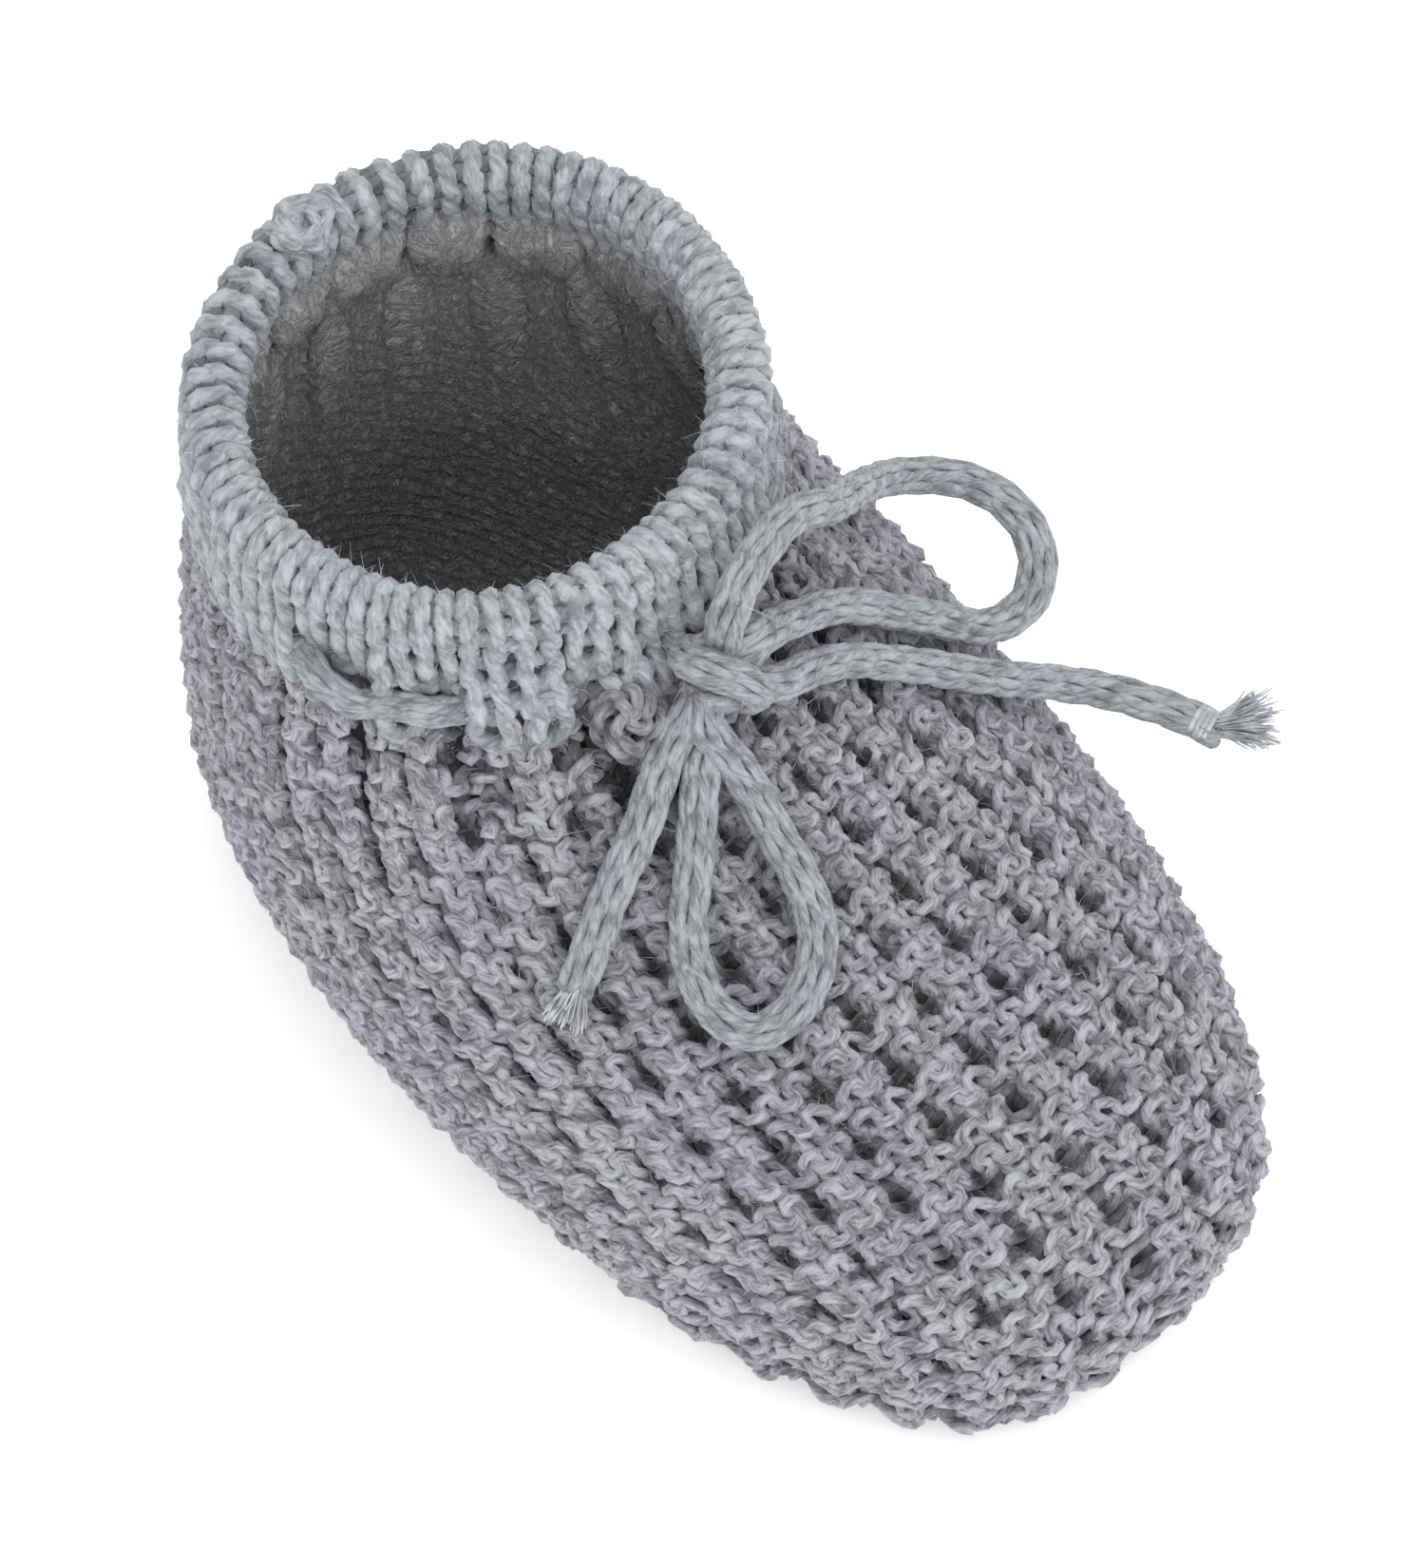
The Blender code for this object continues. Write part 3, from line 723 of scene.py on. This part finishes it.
def normals_of(grid):
    round_it = np.gradient(np.concatenate([grid[-3:-1], grid, grid[1:3]]), axis=0)[2:-2]
    down_it = np.gradient(grid, axis=1)
    return unit(np.cross(round_it, down_it))


base_normals = normals_of(base)
inside_out = np.sign((base_normals[:, len(MAP_DOWNS) // 3] * level_outward(MAP_ANGLES)).sum(-1).mean())
base_normals *= inside_out
angle_grid, down_grid = np.meshgrid(MAP_ANGLES, MAP_DOWNS, indexing="ij")
at_eyelets = np.exp(-(((down_grid - EYELET_DOWN) / EYELET_LONG) ** 2))
lift = crease_height(angle_grid, down_grid) * smoothstep((LIMIT[:, None] - down_grid) / (12 * MM))
lift = lift - at_eyelets * (EYELET_PULL + FLOAT_SINK * float_mask(angle_grid))
FABRIC = base + base_normals * (lift - FABRIC_DEPTH)[..., None]
FABRIC_NORMAL = normals_of(FABRIC) * inside_out
RELIEF = lift[..., None]
print("fabric map", FABRIC.shape, "wales from", round(LIMIT.min() / MM, 1), "to", round(LIMIT.max() / MM, 1), "mm")


# %% Reading the map
def looked_up(grid, wale, down):
    """The map's value at a wale and a distance below the waist, blended between its four nearest."""
    column = np.clip(wale * PER_WALE, 0, grid.shape[0] - 1.001)
    row = np.clip((down - DOWN_FROM) / DOWN_STEP, 0, grid.shape[1] - 1.001)
    i, j = column.astype(int), row.astype(int)
    a, b = (column - i)[..., None], (row - j)[..., None]
    top = grid[i, j] * (1 - a) + grid[i + 1, j] * a
    return top * (1 - b) + (grid[i, j + 1] * (1 - a) + grid[i + 1, j + 1] * a) * b


def on_fabric(wale, down, lift):
    """(places, directions off the fabric) of points given by wale, distance below the waist and lift."""
    normal = unit(looked_up(FABRIC_NORMAL, wale, down))
    return looked_up(FABRIC, wale, down) + normal * lift[..., None], normal


def crease_shade(wale, down):
    """How much a crease adds to the height that the painted shade goes by: troughs are painted darker, since less
    light reaches into them, and ridges a little paler.
    """
    relief = looked_up(RELIEF, wale, down)[..., 0]
    return 0.75 * np.minimum(relief, 0) + 0.15 * np.maximum(relief, 0)


toe_place, toe_normal = on_fabric(np.array([WALES / 2]), np.array([20 * MM]), np.array([0.0]))
print("20 mm down the instep is at", (toe_place[0] / MM).round(1), "mm and faces", toe_normal[0].round(2))

# %% [markdown]
# ## The foot
# The foot is a tuck stitch: two plain ridges, then some stitches are worked into the row below, which
# pulls the fabric into a lattice of deep pits between wavy ribs. Each row's yarn is a wave of loops
# whose tops lean forward in one row and back in the next, which is what makes plain garter ridges.
# The tuck is a push: near each pit the loops move away from it and sink. Neighbouring columns of pits
# are half a step apart.

# %% Foot sizes
YARN = 0.49 * MM  # the yarn's radius
COURSE = 1.35 * MM  # from one row of loops to the next
PIT_STEP = 4 * COURSE
PIT_WALES = 2
LOOP_HALF = 1.50 * MM
LOOP_DEPTH = 0.42 * MM
# A pit is a hole with a smaller lobe beside it and a slit above: sideways and down in mm, and size
PIT_PARTS = ((0.0, 0.0, 1.0), (1.65, 1.5, 0.45), (0.3, -2.1, 0.35))
PIT_PUSH, PIT_REACH = 0.52 * MM, 0.92 * MM
PIT_SINK, PIT_SINK_REACH = 1.8 * MM, 0.70 * MM
RIB_HEIGHT = 0.30 * MM
TOE_SAG = 3.5 * MM  # how much lower the rows run beside the toe than over its middle
WALE_WIDTH = 3.3 * MM
POINTS = 12  # to a loop
SLANT = 0.19  # how far the legs of a loop lean, in wales
CROWN = 0.15 * MM  # how far the middle of a leg bows out
STRAY_ASIDE, STRAY_DOWN, STRAY_OUT = 0.09, 0.30 * MM, 0.18 * MM  # how unevenly the loops lie
YARN_LOWEST, BACKING_LOWEST = -1.15 * MM, -1.3 * MM  # so that neither comes through the inside
print("each pit takes", PIT_WALES, "wales and", round(PIT_STEP / COURSE), "rows")


# %% The hand's unevenness
def sag(wale, down):
    """Rows run straight across the toe, so they lie further from the waist beside it."""
    aside = np.abs(wale - WALES / 2) / WALES * 360
    return TOE_SAG * smoothstep(aside / 45) * smoothstep(down / (40 * MM))


def soft_noise(a, b, seed):
    """A smooth pattern from -1 to 1, made of a few waves, for the hand's unevenness."""
    rng = np.random.default_rng(seed)
    total = 0.0
    for _ in range(6):
        u, v = rng.normal(0, 1, 2)
        total = total + np.sin(a * u + b * v + rng.uniform(0, 6.3))
    return total / 3


def scatter(a, b):
    """A number from 0 to 1 that looks random but is the same each time for the same pair."""
    return np.mod(np.sin(a * 12.9898 + b * 78.233) * 43758.5453, 1.0)


print("the rows hang", round(float(sag(WALES / 4, 50 * MM)) / MM, 1), "mm lower beside the toe")


# %% Pits and ribs
def near_pits(x, level):
    """How far the pits push a place sideways and down, and how deep it sinks, all in metres."""
    push_x, push_y, sink = np.zeros_like(x), np.zeros_like(x), np.zeros_like(x)
    for beside in (-1, 0, 1):
        c = np.round(x / PIT_WALES) + beside
        shift = np.mod(c, 2) / 2 * PIT_STEP
        for below in (0, 1):
            row = np.floor((level - shift) / PIT_STEP) + below
            uneven = 0.8 + 0.4 * scatter(c, row)
            aside = (scatter(row, c + 31) - 0.5) * 0.45 * MM
            lower = (scatter(c + 17, row) - 0.5) * 0.5 * MM
            for sideways, down, size in PIT_PARTS:
                dx = (x - c * PIT_WALES) * WALE_WIDTH - sideways * MM - aside
                dy = level - shift - row * PIT_STEP - down * MM - lower
                far = np.sqrt(dx**2 + dy**2) + 1e-9
                reach = PIT_REACH * (0.6 + 0.4 * size)
                share = size * uneven * far / reach * np.exp(0.5 - 0.5 * (far / reach) ** 2)
                push_x = push_x + PIT_PUSH * share * dx / far
                push_y = push_y + PIT_PUSH * share * dy / far
                sunk = (far / (PIT_SINK_REACH * (0.6 + 0.4 * size))) ** 2
                sink = sink + PIT_SINK * size * uneven * np.exp(-sunk)
    return push_x, push_y, sink


def ribs(x, level):
    """Ribs stand between the columns of pits, highest over the instep and lowest at the toe."""
    over = np.exp(-(((x - WALES / 2) / 11) ** 2)) * smoothstep(1.6 - level / (30 * MM))
    return -RIB_HEIGHT * (1 + 0.9 * over) * np.cos(2 * np.pi * x / PIT_WALES)


print("a pit sinks", round(float(near_pits(np.zeros(1), np.zeros(1))[2][0]) / MM, 1), "mm at its middle")


# %% One row of the foot
def foot_course(j):
    """The centre line of row j's yarn, as places, directions, lifts, distances down and wales."""
    wale = np.arange(0, WALES + 1e-6, 1 / POINTS)
    t = 2 * np.pi * wale
    kind = 1 if j % 2 else -1
    x = wale + SLANT * np.sin(2 * t) + STRAY_ASIDE * soft_noise(wale * 2.1, j * 1.7, 3)
    level = j * COURSE + LOOP_HALF * np.cos(t) + STRAY_DOWN * soft_noise(wale * 1.3, j * 1.1, 4)
    z = kind * LOOP_DEPTH * np.cos(t) + CROWN * np.cos(2 * t)
    z = z + STRAY_OUT * soft_noise(wale * 1.9, j * 2.3, 5)
    push_x, push_y, sink = near_pits(x, level)
    deep = z - sink + ribs(x, level)
    z = np.maximum(deep, YARN_LOWEST)
    x = np.clip(x + push_x / WALE_WIDTH, 0, WALES)
    y = level + sag(wale, level) + push_y
    places, normals = on_fabric(x, y, z)
    return places, normals, z, deep + crease_shade(x, y), y, x


def kept_runs(keep, shortest):
    """Stretches of True at least that long, as (start, end)."""
    edges = np.flatnonzero(np.diff(np.concatenate([[0], keep.astype(int), [0]])))
    return [(a, b) for a, b in edges.reshape(-1, 2) if b - a >= shortest]


print("one row has", len(foot_course(0)[4]), "points")

# %% Knit the foot
FOOT_PIECES = (("knit_instep", 0, 17), ("knit_sides", 17, 33), ("knit_toe_and_edge", 33, 60))
foot_pieces = []
for name, first, last in FOOT_PIECES:
    yarns = Yarns(name)
    for j in range(first, last):
        places, normals, z, deep, y, x = foot_course(j)
        limit = np.interp(np.clip(x, 0, WALES), np.arange(len(LIMIT)) / PER_WALE, LIMIT) - 2.5 * MM
        for a, b in kept_runs(y < limit, 8):
            line = places[a:b].copy()
            line[:, 2] = np.maximum(line[:, 2], YARN)
            size = np.full(b - a, YARN) * (1 + 0.10 * soft_noise(x[a:b] * 3.1, j * 2.0, 8))
            yarns.add(line, normals[a:b], size, sides=5, lift=deep[a:b])
    piece = yarns.made(body_wool)
    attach(piece, "root")
    foot_pieces.append(piece)
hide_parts("upper")

# %% [markdown]
# ## The cuff
# Above the waist the knitting changes to plain jersey, whose edge curls by itself into the roll. Jersey
# shows the legs of its loops as columns of Vs, with a small dark hole where four stitches meet. It is
# knitted a little looser, and it catches more light.

# %% Knit the cuff
CUFF_WALES = 36
CUFF_COURSE = 2.45 * MM
CUFF_YARN = 0.74 * MM
CUFF_LOOP = 2.05 * MM
CUFF_DEPTH = 0.30 * MM
CUFF_POINTS = 14
cuff_yarns = Yarns("knit_cuff")
for j in range(10):
    wale = np.arange(0, CUFF_WALES + 1e-6, 1 / CUFF_POINTS)
    t = 2 * np.pi * wale
    x = wale + 0.16 * np.sin(2 * t) + 0.06 * soft_noise(wale * 1.7, j * 1.3, 11)
    y = -(j + 0.35) * CUFF_COURSE + CUFF_LOOP * np.cos(t) + 0.20 * MM * soft_noise(wale * 1.1, j * 1.9, 12)
    z = -CUFF_DEPTH * np.cos(2 * t) + 0.12 * MM * soft_noise(wale * 1.5, j * 2.1, 13)
    column = np.clip(x, 0, CUFF_WALES) * WALES / CUFF_WALES
    places, normals = on_fabric(column, y, z + 0.20 * MM)
    # Painted light and shade: the cuff's colour is paler in front and darker behind, inside the rim, where less
    # light reaches.
    painted_front_light = 0.3 * MM * smoothstep(1 - np.abs(wale / CUFF_WALES - 0.5) * 2.6)  # painted light in front, painted shade behind
    shade = z * 1.6 - 0.4 * MM + painted_front_light + crease_shade(column, y)
    cuff_yarns.add(places, normals, CUFF_YARN, sides=7, lift=shade)
cuff = cuff_yarns.made(cuff_wool)
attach(cuff, "root")

# %% [markdown]
# Beside the knot the drawstring's pull bunches the fabric into one round fold. Its yarn winds down from
# the top of the fold in a wavy spiral, placed as the eye meets it, like the knot.

# %% The gathered fold
FOLD_RADIUS = 2.3 * MM
FOLD_PLACE = (-7.0 * MM, -3.5 * MM, -1.7 * MM)  # sideways, upwards and towards the viewer from the knot
FOLD_TURNS, FOLD_WAVES = 5.4, 3.37
turned = np.linspace(0, FOLD_TURNS, 400)
wave = 2 * np.pi * turned * FOLD_WAVES
uneven = 0.12 * soft_noise(turned * 3.1, 1.0, 21)
slope, spin = 0.15 + 0.34 * turned + 0.21 * np.sin(wave) + uneven, 2 * np.pi * turned
axes = np.stack([right, up, back])
fold_out = np.stack([np.sin(slope) * np.cos(spin), 1.15 * np.sin(slope) * np.sin(spin), np.cos(slope)], 1) @ axes
fold_line = KNOT + np.array(FOLD_PLACE) @ axes + fold_out * (FOLD_RADIUS + 0.4 * MM * np.cos(wave))[:, None]
fold_yarns = Yarns("gathered_fold")
fold_yarns.add(fold_line, fold_out, YARN * 1.1, lift=0.40 * MM * np.cos(wave) - 0.75 * MM)
fold = fold_yarns.made(body_wool)
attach(fold, "root")

# %% [markdown]
# Where the knitting was begun and sewn up, at the back of the rim, the yarn's end is darned in. It leaves
# a small flat tangle.

# %% Darned end
SEAM_ANGLE = np.radians(357)
seam_out, seam_round = level_outward(SEAM_ANGLE), unit(level_outward(SEAM_ANGLE + np.pi / 2))
seam_normal = unit(UP * 0.9 - seam_out * 0.35)
seam_across = np.cross(seam_round, seam_normal)
seam_yarns = Yarns("darned_end")
seam_place = collar(SEAM_ANGLE) + ROLL_LEAN + seam_normal * 2.5 * MM
for strand in range(3):
    reach = 2.8 * np.sqrt(RNG.uniform(0.1, 1, 12))
    turn = np.cumsum(RNG.uniform(1.2, 2.6, 12))
    route = np.stack([reach * np.cos(turn), 0.85 * reach * np.sin(turn), RNG.uniform(0.0, 0.9, 12)], 1) * MM
    line = smooth_through(route, 0.3 * MM)
    line = seam_place + seam_round * line[:, :1] + seam_across * line[:, 1:2] + seam_normal * line[:, 2:]
    seam_yarns.add(line, np.broadcast_to(seam_normal, line.shape), YARN, lift=-0.15 * MM)
seam = seam_yarns.made(cuff_wool)
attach(seam, "root")

# %% [markdown]
# ## The drawstring
# The same knitted cord runs round the waist. It comes out through one eyelet, slants down over the
# fabric and goes in through the next, so it shows as a ring of short slanting floats.

# %% Drawstring
DRAW_OPENING = 0.24
draw_angles = np.linspace(np.pi + DRAW_OPENING, 3 * np.pi - DRAW_OPENING, 420)
draw_mask = float_mask(draw_angles)
aside = [(degrees_apart(draw_angles, at), half) for at, half, much in FLOATS]
slant = sum(np.clip(apart / half, -1, 1) * (np.abs(apart) < 1.6 * half) for apart, half in aside)
draw_line = drawstring_line(draw_angles) + level_outward(draw_angles) * (
    (1.0 * draw_mask - 1.1) * MM + np.minimum(crease_height(draw_angles, EYELET_DOWN), 0))[:, None]
draw_line = draw_line - UP * (0.5 * MM + np.where(draw_angles > 1.1 * np.pi, -1, 1) * slant * 0.9 * MM)[:, None]
kernel = np.hanning(15) / np.hanning(15).sum()
draw_line[8:-8] = np.stack([np.convolve(draw_line[:, k], kernel, mode="same") for k in range(3)], 1)[8:-8]
draw_yarns = Yarns("woven_drawstring")
draw_route = smooth_through(draw_line[::6], 0.5 * MM)
knit_cord(draw_yarns, draw_route, thick=2.3 * MM)
print("the drawstring is", round(length_of(draw_route) / MM, 1), "mm long inside the fabric")
draw = draw_yarns.made(cord_wool)
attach(draw, "root")
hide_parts("drawstring")


# %% [markdown]
# ## Behind the stitches
# A thin backing closes the fabric where the loops leave gaps. It is the back of the same knit, ribbed
# by the rows, and painted darker for its shade, since light has been through the stitches before it gets there.

# %% Sheets of fabric
SHEET_MARGIN, SHEET_LOWEST = 3 * MM, 1.2 * MM  # how far the sheets keep off the fabric's end and the floor


def fabric_sheet(name, wales, downs, lift_at, material):
    """A sheet that goes all round the foot, with a map in millimetres along the fabric."""
    n, m = len(wales), len(downs)
    w, d = np.meshgrid(wales, downs)
    limit = np.interp(w, np.arange(len(LIMIT)) / PER_WALE, LIMIT) - SHEET_MARGIN
    held = np.minimum(d, limit)
    lift = lift_at(w, held - sag(w, held))
    places, _ = on_fabric(w, held, lift)
    places[..., 2] = np.maximum(places[..., 2], SHEET_LOWEST)
    i, j = np.meshgrid(np.arange(n), np.arange(m - 1))
    beside = (i + 1) % n
    quads = np.stack([j * n + i, j * n + beside, (j + 1) * n + beside, (j + 1) * n + i], -1).reshape(-1, 4)
    mesh = mesh_of(name, places.reshape(-1, 3), quads)
    along = np.append(wales, WALES) * WALE_WIDTH / MM
    steps = ((0, 0), (1, 0), (1, 1), (0, 1))
    give_map(mesh, np.stack([np.stack([along[i + a], downs[j + b] / MM], -1) for a, b in steps], 2))
    give_lift(mesh, lift / MM)
    return object_of(mesh, material)


print("the sheets keep off the fabric's end by", round(SHEET_MARGIN / MM, 1), "mm")


# %% Matted wool
def backing_material(name, light, dark, deepest):
    """Matted strands that cross, as seen between the stitches."""
    material, tree, shader = new_material(name, 0.95, 0.1, 0.2)
    spot = add_node(tree, "ShaderNodeUVMap", uv_map="yarn")
    wander = add_node(tree, "ShaderNodeTexNoise", {"Vector": spot.outputs["UV"]}, Scale=0.6, Detail=2.0)
    bent = add_node(tree, "ShaderNodeVectorMath", {0: wander.outputs["Color"], 2: spot.outputs["UV"]},
                    operation="MULTIPLY_ADD")
    bent.inputs[1].default_value = (2.2, 2.2, 0.0)
    strands = add_node(tree, "ShaderNodeTexVoronoi", {"Vector": bent.outputs[0]}, feature="DISTANCE_TO_EDGE",
                       Scale=0.85)
    heather = add_node(tree, "ShaderNodeTexNoise", {"Vector": bent.outputs[0]}, Scale=5.0, Detail=4.0)
    mixed = add_node(tree, "ShaderNodeMix", {"A": strands.outputs["Distance"], "B": heather.outputs[0]}, Factor=0.55)
    grey = ramp_of(tree, mixed.outputs[0], (0.22, hexes(dark)), (0.5, hexes(light)))
    shaded = painted_depth_shade(tree, grey, deepest, deepest + 1.1, 0.07)
    bump = add_node(tree, "ShaderNodeBump", {"Height": mixed.outputs[0]}, Strength=1.0, Distance=1.2 * MM)
    tree.links.new(shaded, shader.inputs["Base Color"])
    tree.links.new(bump.outputs[0], shader.inputs["Normal"])
    return material


# Only shaded loops show between the stitches, so this matted grey is painted dark, as their shade.
shaded_between_stitches = backing_material("wool between the stitches", light="#8E8E93", dark="#57575C", deepest=-1.45)
# Inside, nothing dims the knit but the shoe's own shade, so its own greys are light.
inside_knit = backing_material("inside of the knit", light="#C6C6C9", dark="#7C7C80", deepest=-9.0)
print("matted wool:", shaded_between_stitches.name, "and", inside_knit.name)

# %% Backing and inside
BACKING_OUT, BACKING_IN = 0.3 * MM, 2.1 * MM  # below the middle of the stitches


def backing_lift(x, level):
    on_foot = smoothstep(level / (5 * MM))
    sink = near_pits(x, level)[2] * 0.9
    rows = 0.12 * MM * np.cos(2 * np.pi * level / COURSE)
    return np.maximum(ribs(x, level) - sink, BACKING_LOWEST) * on_foot - BACKING_OUT - rows


def inside_lift(x, level):
    """Inside, plain bumps in rows: each stands a little into the shoe."""
    shifted = x + np.mod(np.floor(level / (2 * COURSE)), 2) / 2
    return -BACKING_IN - 0.35 * MM * np.cos(2 * np.pi * shifted) * np.cos(np.pi * level / COURSE)


backing_downs, lining_downs = np.arange(-15, 77, 0.75) * MM, np.arange(-17.5, 75, 0.67) * MM
backing = fabric_sheet("knit_backing", np.arange(0, WALES, 0.25), backing_downs, backing_lift, shaded_between_stitches)
lining = fabric_sheet("knit_inside", np.arange(0, WALES, 0.5), lining_downs, inside_lift, inside_knit)
for piece in (backing, lining):
    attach(piece, "root")

# %% [markdown]
# ## The sole
# Underneath is one flat panel in plain garter rows that run across the foot. Its yarn lies a little
# above the floor, because the stitches of the edge curl under it and carry the foot.

# %% Sole
SOLE_COURSE, SOLE_WALE, SOLE_YARN = 1.9 * MM, 3.2 * MM, 0.58 * MM
SOLE_MARGIN = 4.5 * MM
SOLE_MIDDLE, SOLE_WEAVE = 1.25 * MM, 0.55 * MM  # the yarn's height off the floor, and how much it varies
ring = outline(np.linspace(0, 2 * np.pi, 400))
sole_yarns = Yarns("knit_sole")
low_y, high_y = ring[:, 1].min() + SOLE_MARGIN, ring[:, 1].max() - SOLE_MARGIN
for j in range(int((high_y - low_y) / SOLE_COURSE)):
    y0 = low_y + (j + 0.5) * SOLE_COURSE
    near = ring[np.abs(ring[:, 1] - y0) < 1.5 * MM]
    half = np.abs(near[:, 0]).mean() - SOLE_MARGIN * 0.8
    if half < 4 * MM:
        continue
    x = np.arange(-half, half, SOLE_WALE / 8)
    t = 2 * np.pi * x / SOLE_WALE
    sign = 1 if j % 2 else -1
    z = SOLE_MIDDLE + sign * SOLE_WEAVE * np.cos(t)
    y = y0 + 1.35 * MM * np.cos(t) + 0.15 * MM * np.sin(x / MM * 1.3 + j)
    line = np.stack([x + 0.5 * MM * np.sin(2 * t), y, z], 1)
    line[:, 2] = np.maximum(line[:, 2], SOLE_YARN + 0.05 * MM)
    sole_yarns.add(line, np.broadcast_to(-UP, line.shape), SOLE_YARN, sides=4, lift=SOLE_MIDDLE - z)
sole = sole_yarns.made(body_wool)
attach(sole, "root")


# %% The sole's backing
def lofted(name, rings, material):
    """A closed mesh from rings of points, with its first and last rings filled."""
    n = len(rings[0])
    faces = [(r * n + i, r * n + (i + 1) % n, (r + 1) * n + (i + 1) % n, (r + 1) * n + i)
             for r in range(len(rings) - 1) for i in range(n)]
    faces += [tuple(range(n))[::-1], tuple(range((len(rings) - 1) * n, len(rings) * n))]
    mesh = bpy.data.meshes.new(name)
    mesh.from_pydata(np.concatenate(rings).tolist(), [], faces)
    mesh.update()
    give_map(mesh, np.array([mesh.vertices[loop.vertex_index].co[:2] for loop in mesh.loops]) / MM)
    return object_of(mesh, material)


angles = np.linspace(0, 2 * np.pi, 96, endpoint=False)
edge = outline(angles)
SOLE_STEPS = ((5.0, 1.7), (3.0, 1.9), (2.2, 2.6), (2.2, 3.2), (3.2, 3.4), (6.0, 3.2))  # mm inward and high
sole_rings = []
for inward, height in SOLE_STEPS:
    sole_ring = edge - outward(angles) * inward * MM
    sole_ring[:, 2] = height * MM
    sole_rings.append(sole_ring)
insole = lofted("sole_backing", sole_rings, inside_knit)
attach(insole, "root")
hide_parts("sole")

# %% [markdown]
# ## Fluff
# Loose fibres stand off every woollen surface. They soften the outline and the strands' edges. Each is
# a thin bent ribbon, three steps long, rooted on the yarn. Most lie close to it and a few reach out.

# %% Fluff
FIBRE = 0.05 * MM  # a fibre's width, drawn a little wide so that it shows


def fluff(name, host, count, long):
    """Loose fibres on a piece of knitting."""
    mesh = host.data
    faces = len(mesh.polygons)
    picked = RNG.integers(0, faces, count)
    centre, normal = np.zeros(faces * 3, np.float32), np.zeros(faces * 3, np.float32)
    mesh.polygons.foreach_get("center", centre)
    mesh.polygons.foreach_get("normal", normal)
    root = centre.reshape(-1, 3)[picked].astype(float)
    away = normal.reshape(-1, 3)[picked].astype(float)
    heading = unit(away * 0.7 + RNG.normal(0, 0.8, (count, 3)))
    curl = RNG.normal(0, 1, (count, 3))
    reach = (long * (0.35 + 0.65 * RNG.uniform(0, 1, count) ** 2))[:, None, None]
    t = np.linspace(0, 1, 4)[None, :, None]
    line = root[:, None] + heading[:, None] * reach * t + curl[:, None] * (reach * 0.32 * t**2)
    line[..., 2] = np.maximum(line[..., 2], FIBRE)
    across = unit(np.cross(heading, curl))[:, None] * (FIBRE / 2 * (1 - 0.75 * t))
    places = np.stack([line - across, line + across], 2).reshape(-1, 3)
    k = np.arange(3) * 2
    quad = np.stack([k, k + 1, k + 3, k + 2], -1)
    quads = (np.arange(count)[:, None, None] * 8 + quad[None]).reshape(-1, 4)
    piece = object_of(mesh_of(name, places, quads), fibre_material, smooth=False)
    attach(piece, "root")
    return piece


print("a fibre is", round(FIBRE / MM, 2), "mm wide")

# %% Fluff on each piece
for host, count, long in ((foot_pieces[0], 9000, 1.5), (foot_pieces[1], 8000, 1.5), (foot_pieces[2], 5500, 1.5),
                          (cuff, 9500, 1.7), (draw, 900, 1.2), (knot, 500, 1.2)):
    piece = fluff("fluff_on_" + host.name, host, count, long * MM)
for node, (name, far_end, spin) in CORD_FACTS.items():
    piece = fluff("fluff_on_" + name, bpy.data.objects[name], 600, 1.2 * MM)

# %% [markdown]
# ## Floor and light
# The bootie stands on a plain pale floor in soft studio light: a broad lamp overhead, a weaker one from
# the front, and an even pale surround, so that it throws hardly any shadow.

# %% Floor
floor_mesh = bpy.data.meshes.new("floor")
FLOOR_SIZE = 3.0
floor_corners = [(x * FLOOR_SIZE, y * FLOOR_SIZE, 0) for x, y in ((-1, -1), (1, -1), (1, 1), (-1, 1))]
floor_mesh.from_pydata(floor_corners, [], [(0, 1, 2, 3)])
floor = bpy.data.objects.new("floor", floor_mesh)
bpy.context.scene.collection.objects.link(floor)
floor.location.z = -0.05 * MM
# Matt white paper is so even that its grain shows only as a trace of tone.
paper, paper_tree, paper_shader = new_material("white paper sweep", 0.9, 0.5)
grain = add_node(paper_tree, "ShaderNodeTexNoise", Scale=40.0)
tone = add_node(paper_tree, "ShaderNodeMix", {"Factor": grain.outputs[0]}, data_type="RGBA")
tone.inputs[6].default_value = hexes("#F4F4F4")
tone.inputs[7].default_value = hexes("#FAFAFA")
paper_tree.links.new(tone.outputs[2], paper_shader.inputs["Base Color"])
paper_shader.inputs["Emission Color"].default_value = hexes("#FFFFFF")
paper_shader.inputs["Emission Strength"].default_value = 0.3  # lit from behind too, so that shadows stay pale
floor_mesh.materials.append(paper)
floor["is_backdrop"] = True
print("the floor is", 2 * FLOOR_SIZE, "m wide")


# %% Light
def lamp(name, energy, size, place, target=(0, 0, 0.02)):
    data = bpy.data.lights.new(name, "AREA")
    data.shape = "DISK"
    data.size = size
    data.energy = energy
    piece = bpy.data.objects.new(name, data)
    bpy.context.scene.collection.objects.link(piece)
    piece.location = place
    piece.rotation_euler = (Vector(target) - Vector(place)).to_track_quat("-Z", "Y").to_euler()
    return piece


lamp("overhead softbox", 5.6, 1.2, (-0.05, -0.4, 1.05))
lamp("front softbox", 1.6, 0.9, (-0.7, -0.6, 0.7))
world = bpy.data.worlds.new("studio")
world.use_nodes = True
world.node_tree.nodes["Background"].inputs["Color"].default_value = hexes("#FFFFFF")
world.node_tree.nodes["Background"].inputs["Strength"].default_value = 0.92
bpy.context.scene.world = world
bpy.context.scene.view_settings.view_transform = "Standard"

# %% Sizes, and the end
VISUAL_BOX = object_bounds()
for before, after in zip(CAD_BOX, VISUAL_BOX):
    print("box", [round(c / MM, 1) for c in before], "->", [round(c / MM, 1) for c in after])
